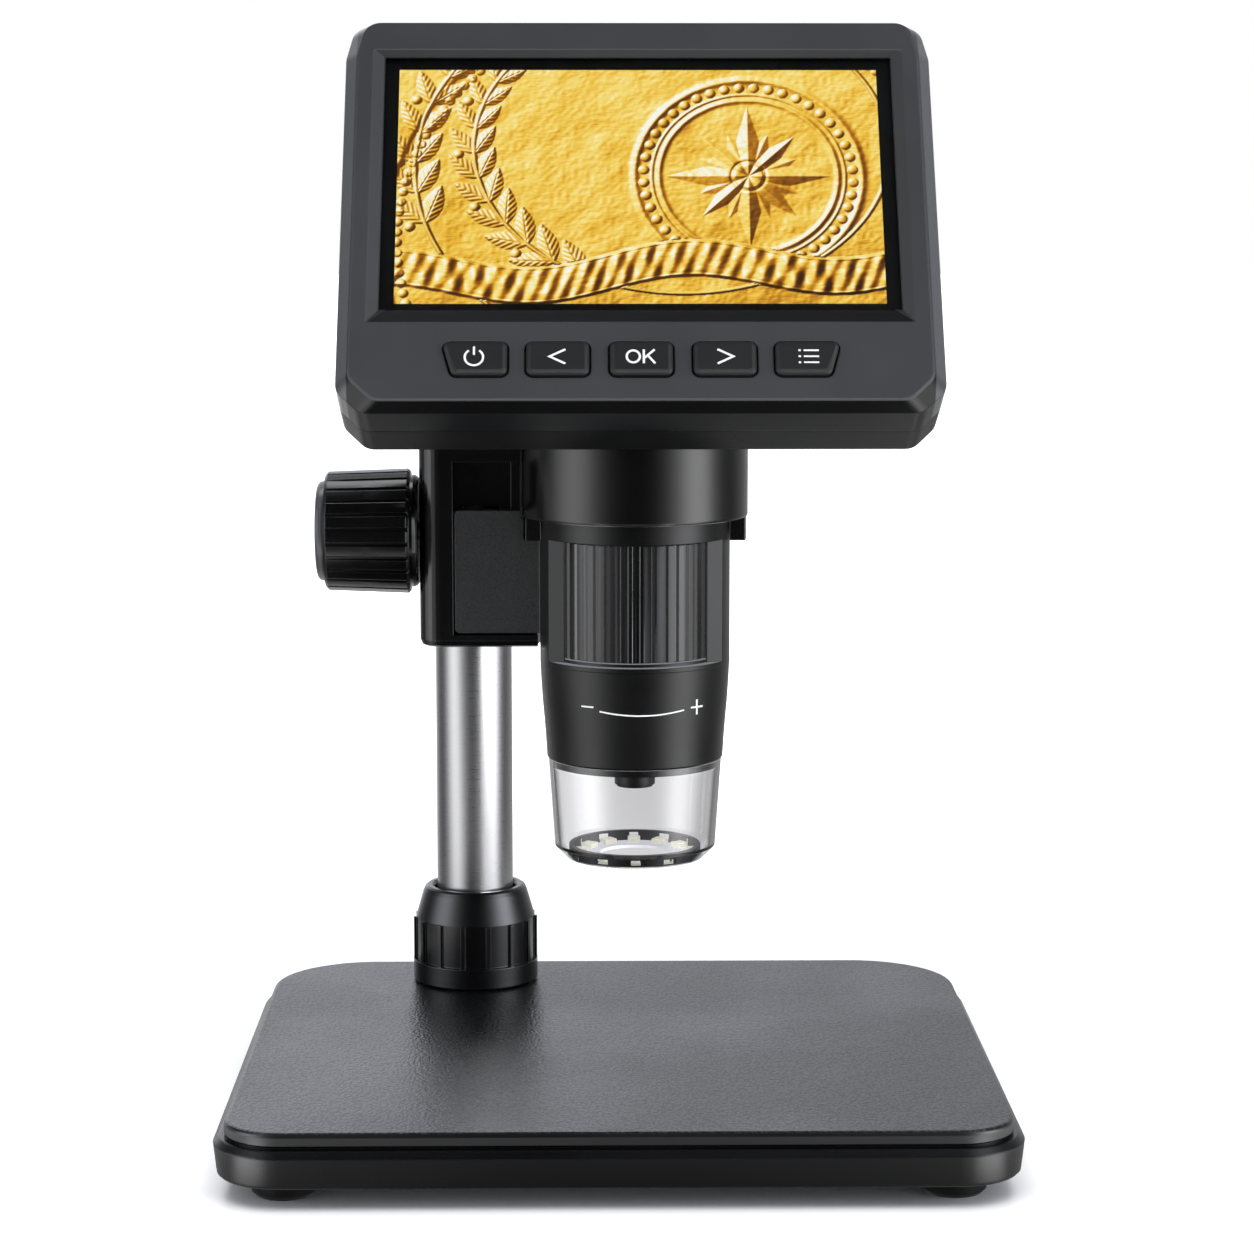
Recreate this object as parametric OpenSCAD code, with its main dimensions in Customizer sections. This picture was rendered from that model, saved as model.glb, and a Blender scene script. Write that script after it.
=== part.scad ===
// Digital microscope with a tilted screen, on a pole stand with a rack-and-pinion focus drive.
// Millimetres, +Z up, the screen faces -Y. The origin is the middle of the base, on the surface it stands on.

/* [Base] */
// Width of the base body
base_w = 147.2; // [130:0.1:170]
// Depth of the base body
base_d = 132.5; // [124:0.5:160]
// Height of the base body above its feet
base_h = 7; // [6.8:0.1:14]
// Radius of the front corners of the base body
base_front_r = 12.8; // [8:0.1:20]
// Radius of the back corners of the base body
base_back_r = 22.5; // [12:0.5:30]
// Wall thickness of the hollow base body
base_wall = 1.8; // [1.6:0.1:2.4]
// Width of the ledge round the stage plate
ledge = 2; // [1.5:0.1:4]
// Height of the stage plate above the base body
plate_rise = 2.9; // [2.4:0.1:5]
// Thickness of the bottom cover
cover_t = 1.5; // [1:0.1:2]
// Height of the rubber feet
foot_h = 4.2; // [3:0.1:8]
// Radius of a rubber foot
foot_r = 6; // [4.5:0.5:8]
// Distance from the edges of the base to the middle of a foot
foot_inset = 12.8; // [12:0.1:18]

/* [Pole and collar] */
// Diameter of the steel pole
pole_d = 16; // [15:0.1:16.6]
// Wall thickness of the pole
pole_wall = 1.2; // [0.8:0.1:2]
// Distance from the middle of the base to the pole, to the left
pole_left = 29.4; // [28:0.1:31]
// Distance from the back of the base to the pole
pole_back = 16.5; // [16.2:0.1:20]
// Radius of the collar nut
collar_r = 13.15; // [12.8:0.05:14]
// Height of the collar nut
collar_h = 20.2; // [19:0.1:28]
// Number of grip panels round the collar nut
collar_panels = 15; // [8:1:20]

/* [Focus drive] */
// Height of the bottom of the drive housing
housing_z = 88; // [80:0.1:92]
// Height of the drive housing
housing_h = 42; // [40:0.5:60]
// Height of the ledge that stops the carriage at the bottom
stop_h = 2.6; // [2:0.1:5]
// Height of the carriage
carriage_h = 25; // [22:0.5:27]
// Travel of the carriage
carriage_travel = 9.4; // [6:0.1:10]
// Gear module of the rack and the pinion
gear_module = 0.5; // [0.45:0.05:0.6]
// Number of teeth on the pinion
pinion_teeth = 16; // [14:1:18]
// Radius of the focus knob at its inner end
knob_r = 12.75; // [10:0.05:14]
// Length of the grooved part of the knob
knob_l = 17.3; // [12:0.1:24]
// Number of grooves round the knob
knob_grooves = 26; // [16:1:36]

/* [Microscope body] */
// Gap between the barrel and the arm of the carriage
barrel_gap = 0.45; // [0.4:0.05:1]
// Distance from the pole axis to the barrel axis, to the front
barrel_ahead = 18; // [17:0.05:19]
// Height of the seat on the holder ring
seat_z = 114.65; // [112:0.05:118]
// How far the neck stands out beyond the barrel
neck_step = 3.6; // [3.4:0.1:4]
// Wall of the barrel round the focus wheel
barrel_wall = 2.05; // [1.7:0.05:2.3]
// Height of the barrel between the neck and the seam
shell_h = 29.65; // [28.5:0.05:32]
// Height of the tapered lower barrel
lower_h = 19.9; // [18:0.1:24]
// How much the lower barrel tapers in radius
lower_taper = 1.35; // [1:0.05:1.8]
// Height of the clear cover
clear_h = 20.8; // [18:0.1:24]
// Radius of the focus wheel
wheel_r = 16.9; // [16.4:0.1:17.4]
// Number of ribs round the focus wheel
wheel_ribs = 44; // [24:1:60]
// How far the lens nozzle stands out below the barrel at rest
nozzle_out = 6.1; // [5:0.1:7]
// Number of lamps in the ring
lamp_count = 12; // [6:1:14]

/* [Screen head] */
// Angle at which the screen leans back
head_tilt = 32.6; // [28:0.1:36]
// Distance from the barrel axis to the middle of the screen, to the right
screen_right = 0.6; // [0:0.1:1]
// Height of the middle of the screen
screen_z = 182.5; // [181:0.1:190]
// Distance from the screen's middle to the barrel axis, to the back
screen_ahead = 16.3; // [15:0.1:17]
// Width of the picture area
lcd_w = 95.04; // [90:0.01:96]
// Height of the picture area
lcd_h = 53.86; // [50:0.01:54.5]
// Width of the front face beside the picture area
face_side = 8.43; // [7.9:0.01:12]
// Height of the front face above the picture area
face_above = 9.97; // [9.5:0.01:14]
// Height of the front face below the picture area
face_below = 22.45; // [21.6:0.01:26]
// Thickness of the head
head_t = 20.5; // [19:0.1:24]
// Wall thickness of the head's shells
shell_wall = 2; // [1.6:0.1:2]
// Distance between the middles of two keys
key_pitch = 15.9; // [14.5:0.1:16.2]
// Width of a key's slot
key_w = 12.7; // [10:0.1:12.9]
// Height of a key's slot
key_h = 8; // [6:0.1:8.6]
// Travel of a key
key_travel = 0.5; // [0.2:0.1:0.5]

/* [Hidden] */
$fn = 64;
eps = 0.01;
run_fit = 0.05;
slip = 0.15;
gap = 0.3;

black = [0.09, 0.09, 0.1];
dark_grey = [0.2, 0.2, 0.22];
steel = [0.75, 0.75, 0.77];
rubber = [0.05, 0.05, 0.05];
board_green = [0.1, 0.35, 0.2];
clear = [0.85, 0.9, 0.95, 0.35];

// Base heights and outlines
base_top = foot_h + base_h;
plate_top = base_top + plate_rise;
plate_recess = 0.8;
plate_gap = 0.3;
plate_round = 0.8;
bevel_in = 1.1;
bevel_down = 1.2;
bottom_edge = 0.4;
base_draft = 0.6;
cavity_inset = bottom_edge + base_draft + base_wall;
cavity_top = base_top - plate_recess - 1.2;
ballast_t = cavity_top - foot_h - cover_t - 0.4;
screw_r = 1.2;
screw_head_r = 2.2;
screw_head_h = 1;
boss_r = 3.4;
foot_x = base_w / 2 - foot_inset;
foot_y = base_d / 2 - foot_inset;
FOOT_PLACES = [for (sx = [-1, 1], sy = [-1, 1]) [sx * foot_x, sy * foot_y]];

// Pole, socket and collar
pole_r = pole_d / 2;
pole_x = -pole_left;
pole_y = base_d / 2 - pole_back;
socket_r = pole_r + 3;
socket_flange_r = 15.5;
socket_flange_t = 1.6;
socket_floor = 0.8;
socket_up = 13;
socket_taper = 5;
slot_w = 1;
slot_up = 3;
pole_z0 = cavity_top - socket_flange_t;
pole_over = 17;
pole_top = housing_z + housing_h + pole_over;
collar_z = plate_top + 0.2;
collar_band = 4.4;
collar_skirt = 13.5;
collar_top_r = 10.5;
collar_panel_depth = 0.6;
collar_rib_w = 1;
SOCKET_SCREWS = [30, 150, 270];
socket_screw_ring = socket_r + 2.6;
socket_screw_r = screw_r - 0.3;

// Focus drive, measured from the pole axis: u to the right, v to the back
pitch_r = gear_module * pinion_teeth / 2;
pinion_tip = 0.92 * gear_module;
pinion_root = 1.15 * gear_module;
rack_tip = 0.8 * gear_module;
rack_root = 1.1 * gear_module;
backlash = 0.06;
pressure_angle = 20;
shaft_v = -(pole_r + 0.7 + pitch_r + pinion_tip);
shaft_r = 2;
bushing_r = 3.4;
rack_pitch_v = shaft_v - pitch_r;
rack_back_v = rack_pitch_v - rack_root;
rack_seat_v = rack_back_v - 1.05;
panel_back = rack_seat_v - 0.6;
panel_t = 2;
panel_front = panel_back - panel_t;
tongue_back = shaft_v - shaft_r - 0.9;
tongue_t = 1.6;
tongue_front = tongue_back - tongue_t;
tongue_deep = 1.4;
house_left = -(pole_r + 2.3);
house_front = panel_front - 0.1;
house_back = pole_r + 3;
house_corner = 4.2;
house_edge = 1.4;
column_u = -3.35;
wall_u0 = 8.3;
wall_u1 = 10.8;
arm_room = 2.95;
arm_right = wall_u1 + arm_room;
house_wrap = 2.2;
house_right = arm_right + house_wrap;
pinion_u0 = column_u + 2.55;
pinion_u1 = wall_u0 - 2.9;
cavity_u0 = pinion_u0 - 0.5;
cavity_u1 = pinion_u1 + 0.5;
side_gap = 0.25;
window_z0 = housing_z + stop_h;
carriage_z = window_z0 + 0.4;
carriage_top = carriage_z + carriage_h;
window_z1 = carriage_top + carriage_travel + 0.4;
shaft_z = carriage_z + carriage_h * 0.804;
knob_gap = 0.2;
knob_shoulder = 1.7;
knob_shoulder_r = knob_r - 1.25;
knob_taper = 0.6;
groove_deep = 0.7;
knob_u1 = house_left - knob_gap;
knob_u0 = knob_u1 - knob_shoulder - knob_l;
cap_dome = 1.8;
cap_r = knob_r - 2.5;
ring_h = 4.6;
ring_front = 4.75;

// Barrel, heights downwards from the seat
wheel_gap = 0.4;
wheel_room_r = wheel_r + wheel_gap;
barrel_r = wheel_room_r + barrel_wall;
neck_r = barrel_r + neck_step;
lower_end_r = barrel_r - lower_taper;
ring_in = barrel_r + gap;
ring_out = neck_r - gap;
barrel_u = arm_right + barrel_gap + barrel_r;
barrel_v = -barrel_ahead;
barrel_x = pole_x + barrel_u;
barrel_y = pole_y + barrel_v;
seam_z = seat_z - shell_h;
lower_z = seam_z - lower_h;
clear_z = lower_z - clear_h;
window_bottom = seam_z + 0.9;
window_top = seat_z - 4.05;
rim_z = seam_z + 1.5;
wheel_z0 = rim_z + 0.2;
wheel_z1 = window_top - 0.5;
window_half = 0.732 * barrel_r;
cheek_half = 0.905 * barrel_r;
cheek_in = [window_half, sqrt(wheel_room_r * wheel_room_r - window_half * window_half)];
cheek_out = [cheek_half, sqrt(barrel_r * barrel_r - cheek_half * cheek_half)];
cheek_run = 0.4 * (cheek_in - cheek_out) / norm(cheek_in - cheek_out);
cheek_a = cheek_in + cheek_run;
cheek_b = cheek_out - cheek_run;
spigot_r = barrel_r - 2;
spigot_h = 6;
neck_wall = 2.2;
neck_floor = 2.2;
roof_z = 149;
roof_angle = 49;
tube_r = 9.5;
tube_bore = 6;
tube_z0 = lower_z + 6;
tube_z1 = wheel_z1 - 7;
nozzle_r = 4.15;
nozzle_tip_r = 3.7;
nozzle_tip_h = 0.45;
lens_r = 2.4;
nozzle_z = lower_z - nozzle_out;
rib_deep = 0.7;
hub_r = 11.5;
wheel_wall = 2;
web_z = (wheel_z0 + wheel_z1) / 2;
key_tab = 1;
diaphragm_z = lower_z + 13;
diaphragm_t = 3;
plug_r = lower_end_r - 1.65;
plug_h = 1.5;
clear_wall = 1.25;
clear_low_r = lower_end_r - 1.5;
clear_tip_r = clear_low_r - 2.5;
clear_bevel = 2.5;
clear_floor = 0.6;
clear_hole = 7.5;
clear_mid = clear_z + clear_bevel;
frame_t = 1;
frame_out = clear_tip_r - 0.45;
frame_h = 2.1;
notch_w = 1.9;
window_w = 2.8;
lamp_size = 2.6;
lamp_ring = frame_out - frame_t - lamp_size / 2 - gap;
lamp_h = 1;

// Head, in its own frame: x to the right, y into the head, z up along the face
face_half_w = lcd_w / 2 + face_side;
face_up = lcd_h / 2 + face_above;
face_down = lcd_h / 2 + face_below;
screen_y = barrel_y - screen_ahead;
foot_cut = 4.9;
ridge_t = 4;
part_t = 11.5;
ridge_side = 2.45;
ridge_top = 1.3;
ridge_foot = 0.62;
part_side = 2.25;
part_top = 1.1;
part_foot = 0.45;
back_side = 1.9;
back_top = 0.7;
back_foot = 0.4;
back_edge = 1.5;
bevel_t = 1.6;
bevel_side = 2.4;
bevel_top = 1.1;
bevel_bottom = 3.8;
border_side = 2.8;
border_top = 2.3;
border_bottom = 1.7;
glass_t = 1;
glass_lap = 1.3;
glass_z = bevel_t + 0.02;
lcd_front = glass_z + glass_t + 0.1;
lcd_t = 2.9;
lcd_rim_side = 4.4;
lcd_rim_top = 3;
lcd_rim_bottom = 6;
board_front = 9;
board_t = 1.2;
switch_h = 2.6;
plunger_h = 0.6;
plunger_r = 1.3;
key_foot = 8.88;
key_row_z = key_foot - face_down;
key_round = 1.7;
key_gap = 0.35;
key_proud = 1.15;
key_flange = 0.8;
key_flange_t = 0.8;
key_slant = 2.1;
key_end_w = key_w + 0.6;
stem_end = board_front - switch_h - plunger_h - key_travel - 0.1;
case_screw_x = face_half_w - 6.4;
case_screw_up = face_up - 4.15;
case_screw_down = face_down - 9;
case_boss_r = 2.2;
CASE_SCREWS = [for (sx = [-1, 1], z = [case_screw_up, -case_screw_down]) [sx * case_screw_x, z]];
KEY_XS = [for (i = [-2:2]) i * key_pitch];
// The lowest screw's boss grows out of the neck's front wall
neck_screw_low = (screen_ahead - neck_r + neck_wall + boss_r * sin(head_tilt) - 0.8
    - head_t * cos(head_tilt)) / sin(head_tilt);
NECK_SCREWS = [[-0.73 * neck_r, -18], [0.73 * neck_r, -18], [0, neck_screw_low]];
port_x = 24;
slot_x = -20;
port_t = 14.3;
battery_t0 = board_front + board_t + 0.6;
battery_half_w = lcd_w / 3;
battery_h = 36;
battery_up = 8;

// ---------- helpers ----------

module at_pole() translate([pole_x, pole_y, 0]) children();
module at_barrel() translate([barrel_x, barrel_y, 0]) children();
module at_screen() translate([barrel_x + screen_right, screen_y, screen_z]) rotate([-head_tilt, 0, 0])
    children();
module ring(r_out, r_in, h) difference() {
    cylinder(h = h, r = r_out);
    translate([0, 0, -eps]) cylinder(h = h + 2 * eps, r = r_in);
}
function corner(x, y, r, a, n) = [for (k = [0:n]) [x + r * cos(a + 90 * k / n),
    y + r * sin(a + 90 * k / n)]];
function left_over(r, inset) = max(0.05, r - inset);
// Plan with its own front-left, front-right, back-right and back-left corner radii q
function plan_points(x0, x1, y0, y1, q, n) = concat(
    corner(x0 + q[0], y0 + q[0], q[0], 180, n),
    corner(x1 - q[1], y0 + q[1], q[1], 270, n),
    corner(x1 - q[2], y1 - q[2], q[2], 0, n),
    corner(x0 + q[3], y1 - q[3], q[3], 90, n)
);
module plan(x0, x1, y0, y1, r, inset, n = 8)
    polygon(plan_points(x0 + inset, x1 - inset, y0 + inset, y1 - inset, [for (k = r) left_over(k,
        inset)], n));
BASE_RADII = [base_front_r, base_front_r, base_back_r, base_back_r];
function base_outline(inset) = plan_points(
    inset - base_w / 2, base_w / 2 - inset, inset - base_d / 2, base_d / 2 - inset,
    [for (k = BASE_RADII) left_over(k, inset)], 12);
module base_slice(inset, z, h) translate([0, 0, z]) linear_extrude(h) polygon(base_outline(inset));
// Solid through base outlines, given as [inset, height] from the bottom to the top
module base_stack(levels) {
    m = len(base_outline(0));
    last = len(levels) - 1;
    polyhedron(
        points = [for (l = levels, p = base_outline(l[0])) [p.x, p.y, l[1]]],
        faces = concat(
            [[for (i = [0:m - 1]) i]],
            [[for (i = [m - 1:-1:0]) last * m + i]],
            [for (k = [0:last - 1], i = [0:m - 1])
                [k * m + i, (k + 1) * m + i, (k + 1) * m + (i + 1) % m, k * m + (i + 1) % m]]
        )
    );
}
// A flat shape drawn on the head's face, carried from one depth to another
module slab(t0, t1) translate([0, t1, 0]) rotate([90, 0, 0]) linear_extrude(t1 - t0) children();
module box_z(x0, x1, y0, y1, z0, z1) translate([x0, y0, z0]) cube([x1 - x0, y1 - y0, z1 - z0]);
module screw(l, head = screw_head_r) {
    cylinder(h = l, r = screw_r, $fn = 24);
    translate([0, 0, -screw_head_h]) cylinder(h = screw_head_h, r = head, $fn = 24);
}

// ---------- base ----------

module base_body() color(black) difference() {
    base_stack([
        [base_draft + bottom_edge, foot_h], [base_draft, foot_h + bottom_edge],
        [0, base_top - bevel_down], [bevel_in, base_top]
    ]);
    difference() {
        base_slice(cavity_inset, foot_h - 1, cavity_top - foot_h + 1);
        for (p = FOOT_PLACES) translate([p.x, p.y, foot_h + cover_t]) cylinder(h = base_h, r = boss_r);
    }
    base_slice(ledge + 0.4, base_top - plate_recess, plate_recess + 1);
    at_pole() cylinder(h = base_top + 1, r = socket_r + slip);
    for (p = FOOT_PLACES) translate([p.x, p.y, foot_h - 1])
        cylinder(h = base_h - plate_recess + 0.3, r = screw_r + run_fit, $fn = 24);
}
module stage_plate() color(dark_grey) difference() {
    base_stack([
        [ledge + 0.4 + slip, base_top - plate_recess], [ledge + 0.4 + slip, base_top + plate_gap],
        [ledge + 0.3, base_top + plate_gap + 0.05], [ledge, base_top + plate_gap + 0.3],
        [ledge, plate_top - plate_round],
        [ledge + plate_round * 0.134, plate_top - plate_round * 0.5],
        [ledge + plate_round * 0.5, plate_top - plate_round * 0.134], [ledge + plate_round, plate_top]
    ]);
    at_pole() cylinder(h = plate_top + 1, r = socket_r + slip);
}
module bottom_cover() color(black) difference() {
    base_slice(cavity_inset + slip, foot_h, cover_t);
    for (p = FOOT_PLACES) translate([p.x, p.y, foot_h - eps]) {
        cylinder(h = cover_t + 1, r = screw_r + slip, $fn = 24);
        cylinder(h = screw_head_h + eps, r = screw_head_r + slip, $fn = 24);
    }
}
module ballast_plate() color("dimgray") difference() {
    base_slice(cavity_inset + 1, foot_h + cover_t, ballast_t);
    at_pole() cylinder(h = base_top, r = socket_flange_r + 1);
    for (p = FOOT_PLACES) translate([p.x, p.y, 0]) cylinder(h = base_top, r = boss_r + 0.6);
}
module rubber_feet() color(rubber) for (p = FOOT_PLACES) translate([p.x, p.y, 0]) {
    cylinder(h = 0.8, r1 = foot_r - 0.8, r2 = foot_r);
    translate([0, 0, 0.8 - eps]) cylinder(h = foot_h - 0.8 + eps, r = foot_r);
}
module base_screws() color(steel) for (p = FOOT_PLACES) translate([p.x, p.y, foot_h + screw_head_h])
    screw(base_h - plate_recess - 0.9 - screw_head_h);

// ---------- socket, collar and pole ----------

module pole_socket() color(black) difference() {
    union() {
        intersection() {
            at_pole() translate([0, 0, pole_z0]) cylinder(h = socket_flange_t, r = socket_flange_r);
            base_slice(cavity_inset + gap, foot_h, base_h);
        }
        at_pole() translate([0, 0, pole_z0 - socket_floor])
            cylinder(h = socket_floor + 0.5, r = pole_r + 1.5);
        at_pole() translate([0, 0, pole_z0]) cylinder(h = plate_top + socket_up - socket_taper - pole_z0,
            r = socket_r);
        at_pole() translate([0, 0, plate_top + socket_up - socket_taper - eps])
            cylinder(h = socket_taper, r1 = socket_r, r2 = pole_r + 1.1);
    }
    at_pole() translate([0, 0, pole_z0]) cylinder(h = plate_top + socket_up, r = pole_r + run_fit);
    at_pole() for (a = [45, 135]) rotate([0, 0, a])
        box_z(-socket_r - 1, socket_r + 1, -slot_w / 2, slot_w / 2, plate_top + slot_up,
            plate_top + socket_up + 1);
    at_pole() for (a = SOCKET_SCREWS) rotate([0, 0, a]) translate([socket_screw_ring, 0, pole_z0 - 1])
        cylinder(h = socket_flange_t + 2, r = socket_screw_r + run_fit, $fn = 24);
}
module socket_screws() color(steel) at_pole() for (a = SOCKET_SCREWS) rotate([0, 0, a])
    translate([socket_screw_ring, 0, pole_z0]) {
        translate([0, 0, -0.8]) cylinder(h = 0.8, r = 1.6, $fn = 24);
        cylinder(h = socket_flange_t - 0.05, r = socket_screw_r, $fn = 24);
    }
module collar_nut() color(black) at_pole() translate([0, 0, collar_z]) {
    rotate_extrude() polygon([
        [socket_r + run_fit, 0], [collar_r - 0.3, 0], [collar_r, 0.3], [collar_r, collar_band],
        [collar_r - collar_panel_depth, collar_band + 0.15], [collar_r - collar_panel_depth, collar_skirt],
        [collar_top_r + 0.45, collar_h - 1.2], [collar_top_r + 0.05, collar_h - 0.35],
        [collar_top_r - 0.5, collar_h], [pole_r + 1.1, collar_h], [pole_r + 0.6, collar_h - 0.6],
        [pole_r + 0.6, collar_h - 3], [pole_r + 1.4, collar_h - 4.5], [socket_r + run_fit, collar_skirt - 1]
    ]);
    for (i = [0:collar_panels - 1]) rotate([0, 0, (i + 0.5) * 360 / collar_panels - 88])
        translate([collar_r - collar_panel_depth - 0.5, -collar_rib_w / 2, collar_band - 0.5])
            cube([collar_panel_depth + 0.45, collar_rib_w, collar_skirt - collar_band + 0.4]);
}
module pole() color(steel) at_pole() translate([0, 0, pole_z0])
    ring(pole_r, pole_r - pole_wall, pole_top - pole_z0);
module pole_cap() color(black) at_pole() {
    translate([0, 0, pole_top]) cylinder(h = 1.2, r = pole_r);
    translate([0, 0, pole_top + 1.2 - eps]) cylinder(h = 0.8, r1 = pole_r, r2 = pole_r - 0.8);
    translate([0, 0, pole_top - 5]) cylinder(h = 5 + eps, r = pole_r - pole_wall - run_fit);
}

// ---------- focus drive ----------

module house_slice(inset, z) translate([0, 0, z]) linear_extrude(0.1)
    plan(house_left, house_right, house_front, house_back, [house_corner, 1.2, 3, 3], inset);
module clamp_places() for (z = [housing_z + 8, housing_z + housing_h - 8]) translate([0, 0, z]) children();
module around_barrel(r, z0, z1) translate([barrel_u, barrel_v, z0]) cylinder(h = z1 - z0, r = r);
module focus_housing() color(black) at_pole() difference() {
    hull() {
        house_slice(house_edge, housing_z);
        house_slice(house_edge * 0.3, housing_z + house_edge * 0.3);
        house_slice(0, housing_z + house_edge);
        house_slice(0, housing_z + housing_h - house_edge - 0.1);
        house_slice(house_edge, housing_z + housing_h - 0.1);
    }
    translate([0, 0, housing_z - 1]) cylinder(h = housing_h + 2, r = pole_r + run_fit);
    // window for the carriage, wider in front of the right wall and open beyond it
    box_z(column_u, wall_u0, house_front - 1, tongue_back + 0.1, window_z0, window_z1);
    box_z(wall_u0 - 1, house_right + 9, house_front - 1, panel_back + gap, window_z0, window_z1);
    box_z(wall_u1, house_right + 9, house_front - 1, barrel_v + 7.3, window_z0, window_z1);
    // grooves for the carriage's two tongues
    box_z(column_u - tongue_deep - side_gap, wall_u0 + tongue_deep, tongue_front - 0.1, tongue_back + 0.1,
          window_z0, window_z1);
    // room for the pinion, open to the pole
    box_z(cavity_u0, cavity_u1, tongue_back - 1, -(pole_r - 1.5), shaft_z - pitch_r - 1.2,
        shaft_z + pitch_r + 1.2);
    // bores for the shaft and its bushing
    translate([house_left - 1, shaft_v, shaft_z]) rotate([0, 90, 0]) cylinder(h = 5.3, r = bushing_r);
    translate([house_left, shaft_v, shaft_z]) rotate([0, 90, 0])
        cylinder(h = wall_u1 - 0.8 - house_left, r = shaft_r + run_fit);
    // room for the barrel, its holder ring and the neck
    around_barrel(barrel_r + 2 * gap, housing_z - 1, housing_z + housing_h + 1);
    around_barrel(neck_r + 0.5, seat_z - ring_h - 2, housing_z + housing_h + 1);
    clamp_places() rotate([-90, 0, 0]) cylinder(h = house_back + 1, r = screw_r + 0.8, $fn = 24);
}
module clamp_screws() color(steel) at_pole() clamp_places() translate([0, pole_r + 0.01, 0])
    rotate([-90, 0, 0])
    cylinder(h = house_back - pole_r - 0.4, r = screw_r + 0.79, $fn = 24);
module at_shaft(u) at_pole() translate([u, shaft_v, shaft_z]) rotate([0, 90, 0]) children();
module shaft_bushing() color("goldenrod") at_shaft(house_left)
    ring(bushing_r - 0.01, shaft_r + run_fit, 4.3);

// Involute tooth outline: half the tooth's angle at radius r
function involute(a) = tan(a) * 180 / PI - a;
base_circle = pitch_r * cos(pressure_angle);
pitch_half = 90 / pinion_teeth - backlash / pitch_r * 90 / PI;
function half_angle(r) = pitch_half + involute(pressure_angle) - involute(acos(min(1, base_circle / r)));
root_r = pitch_r - pinion_root;
tip_r = pitch_r + pinion_tip;
FLANK = [for (k = [0:4]) base_circle + (tip_r - base_circle) * k / 4];
function polar(r, a) = [r * cos(a), r * sin(a)];
module pinion() color("goldenrod") at_shaft(pinion_u0) difference() {
    // one tooth points to the front, towards the rack
    rotate([0, 0, -90]) linear_extrude(pinion_u1 - pinion_u0) union() {
        circle(root_r);
        for (i = [0:pinion_teeth - 1]) rotate([0, 0, i * 360 / pinion_teeth]) polygon(concat(
            [polar(root_r - 0.3, -half_angle(base_circle))],
            [for (r = FLANK) polar(r, -half_angle(r))],
            [for (k = [4:-1:0]) polar(FLANK[k], half_angle(FLANK[k]))],
            [polar(root_r - 0.3, half_angle(base_circle))]
        ));
    }
    translate([0, 0, -1]) cylinder(h = pinion_u1 - pinion_u0 + 2, r = shaft_r + 0.01);
}
module knob_shaft() color(steel) at_shaft(knob_u0 + 4) cylinder(h = wall_u1 - 1.1 - knob_u0 - 4,
    r = shaft_r);
module knob_outline() difference() {
    circle(knob_r);
    for (i = [0:knob_grooves - 1]) rotate([0, 0, i * 360 / knob_grooves]) translate([knob_r, 0])
        polygon([[-groove_deep, -0.3], [1, -0.55], [1, 0.55], [-groove_deep, 0.3]]);
}
module focus_knob() color(black) difference() {
    union() {
        intersection() {
            at_shaft(knob_u0) linear_extrude(knob_l) knob_outline();
            at_shaft(knob_u0) rotate_extrude() polygon([
                [0, 0], [knob_r - knob_taper - 0.6, 0], [knob_r - knob_taper, 0.6], [knob_r, knob_l - 0.5],
                [knob_r - 0.5, knob_l], [0, knob_l]
            ]);
        }
        at_shaft(knob_u1 - knob_shoulder - eps) rotate_extrude() polygon([
            [0, 0], [knob_shoulder_r, 0], [knob_shoulder_r, knob_shoulder * 0.4],
            [knob_shoulder_r - 0.3, knob_shoulder * 0.8], [knob_shoulder_r - 0.8, knob_shoulder], [0,
                knob_shoulder]
        ]);
    }
    at_shaft(knob_u0 + 4) cylinder(h = knob_l + knob_shoulder, r = shaft_r + 0.01);
    at_shaft(knob_u0 - 1) cylinder(h = 3.2, r = cap_r - 0.9);
    at_shaft(knob_u0) cylinder(h = knob_l, r = screw_r + run_fit, $fn = 24);
}
module knob_cap() color(dark_grey) at_shaft(knob_u0) {
    rotate_extrude() polygon([
        [0, -cap_dome], [cap_r - 1.3, -cap_dome], [cap_r - 0.6, -cap_dome * 0.88],
        [cap_r - 0.15, -cap_dome * 0.6], [cap_r, -0.4], [cap_r, -0.02], [0, -0.02]
    ]);
    translate([0, 0, -0.1]) ring(cap_r - 0.92, cap_r - 2.4, 1.9);
}
module knob_screw() color(steel) at_shaft(knob_u0 + 2.2 - 0.8)
    cylinder(h = 0.8, r = screw_head_r, $fn = 24);

// The carriage slides up and down in the window; its panel is the textured face
module panel_plan() offset(r = 1, $fn = 24) offset(delta = -1)
    translate([column_u + 0.35, carriage_z]) square([arm_right + 1.6 - column_u, carriage_h]);
module carriage() color(dark_grey) at_pole() difference() {
    union() {
        slab(panel_front, panel_back) panel_plan();
        box_z(column_u + 0.35, wall_u0 - 0.2, panel_back - 0.5, tongue_back, carriage_z, carriage_top);
        box_z(column_u - tongue_deep, wall_u0 + tongue_deep - 0.2, tongue_front, tongue_back, carriage_z,
            carriage_top);
        box_z(wall_u1 + gap, arm_right + 2, panel_back - 0.5, barrel_v + 7, carriage_z, seat_z - ring_h);
    }
    // slot for the rack
    box_z(column_u + 1.75, wall_u0 - 2.4, rack_seat_v, tongue_back + 1, carriage_z - 1, carriage_top + 1);
    around_barrel(ring_in, carriage_z - 1, carriage_top + 1);
    around_barrel(ring_out + slip, seat_z - ring_h, carriage_top + 1);
    around_barrel(neck_r + gap, seat_z - 0.3, carriage_top + 1);
    holder_screw_places() cylinder(h = 20, r = 0.85, $fn = 24);
}
rack_u0 = column_u + 1.8;
rack_u1 = wall_u0 - 2.45;
rack_z0 = carriage_z + carriage_h * 0.8 - carriage_travel - 4.5;
rack_z1 = carriage_top - 0.6;
rack_step = PI * gear_module;
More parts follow.
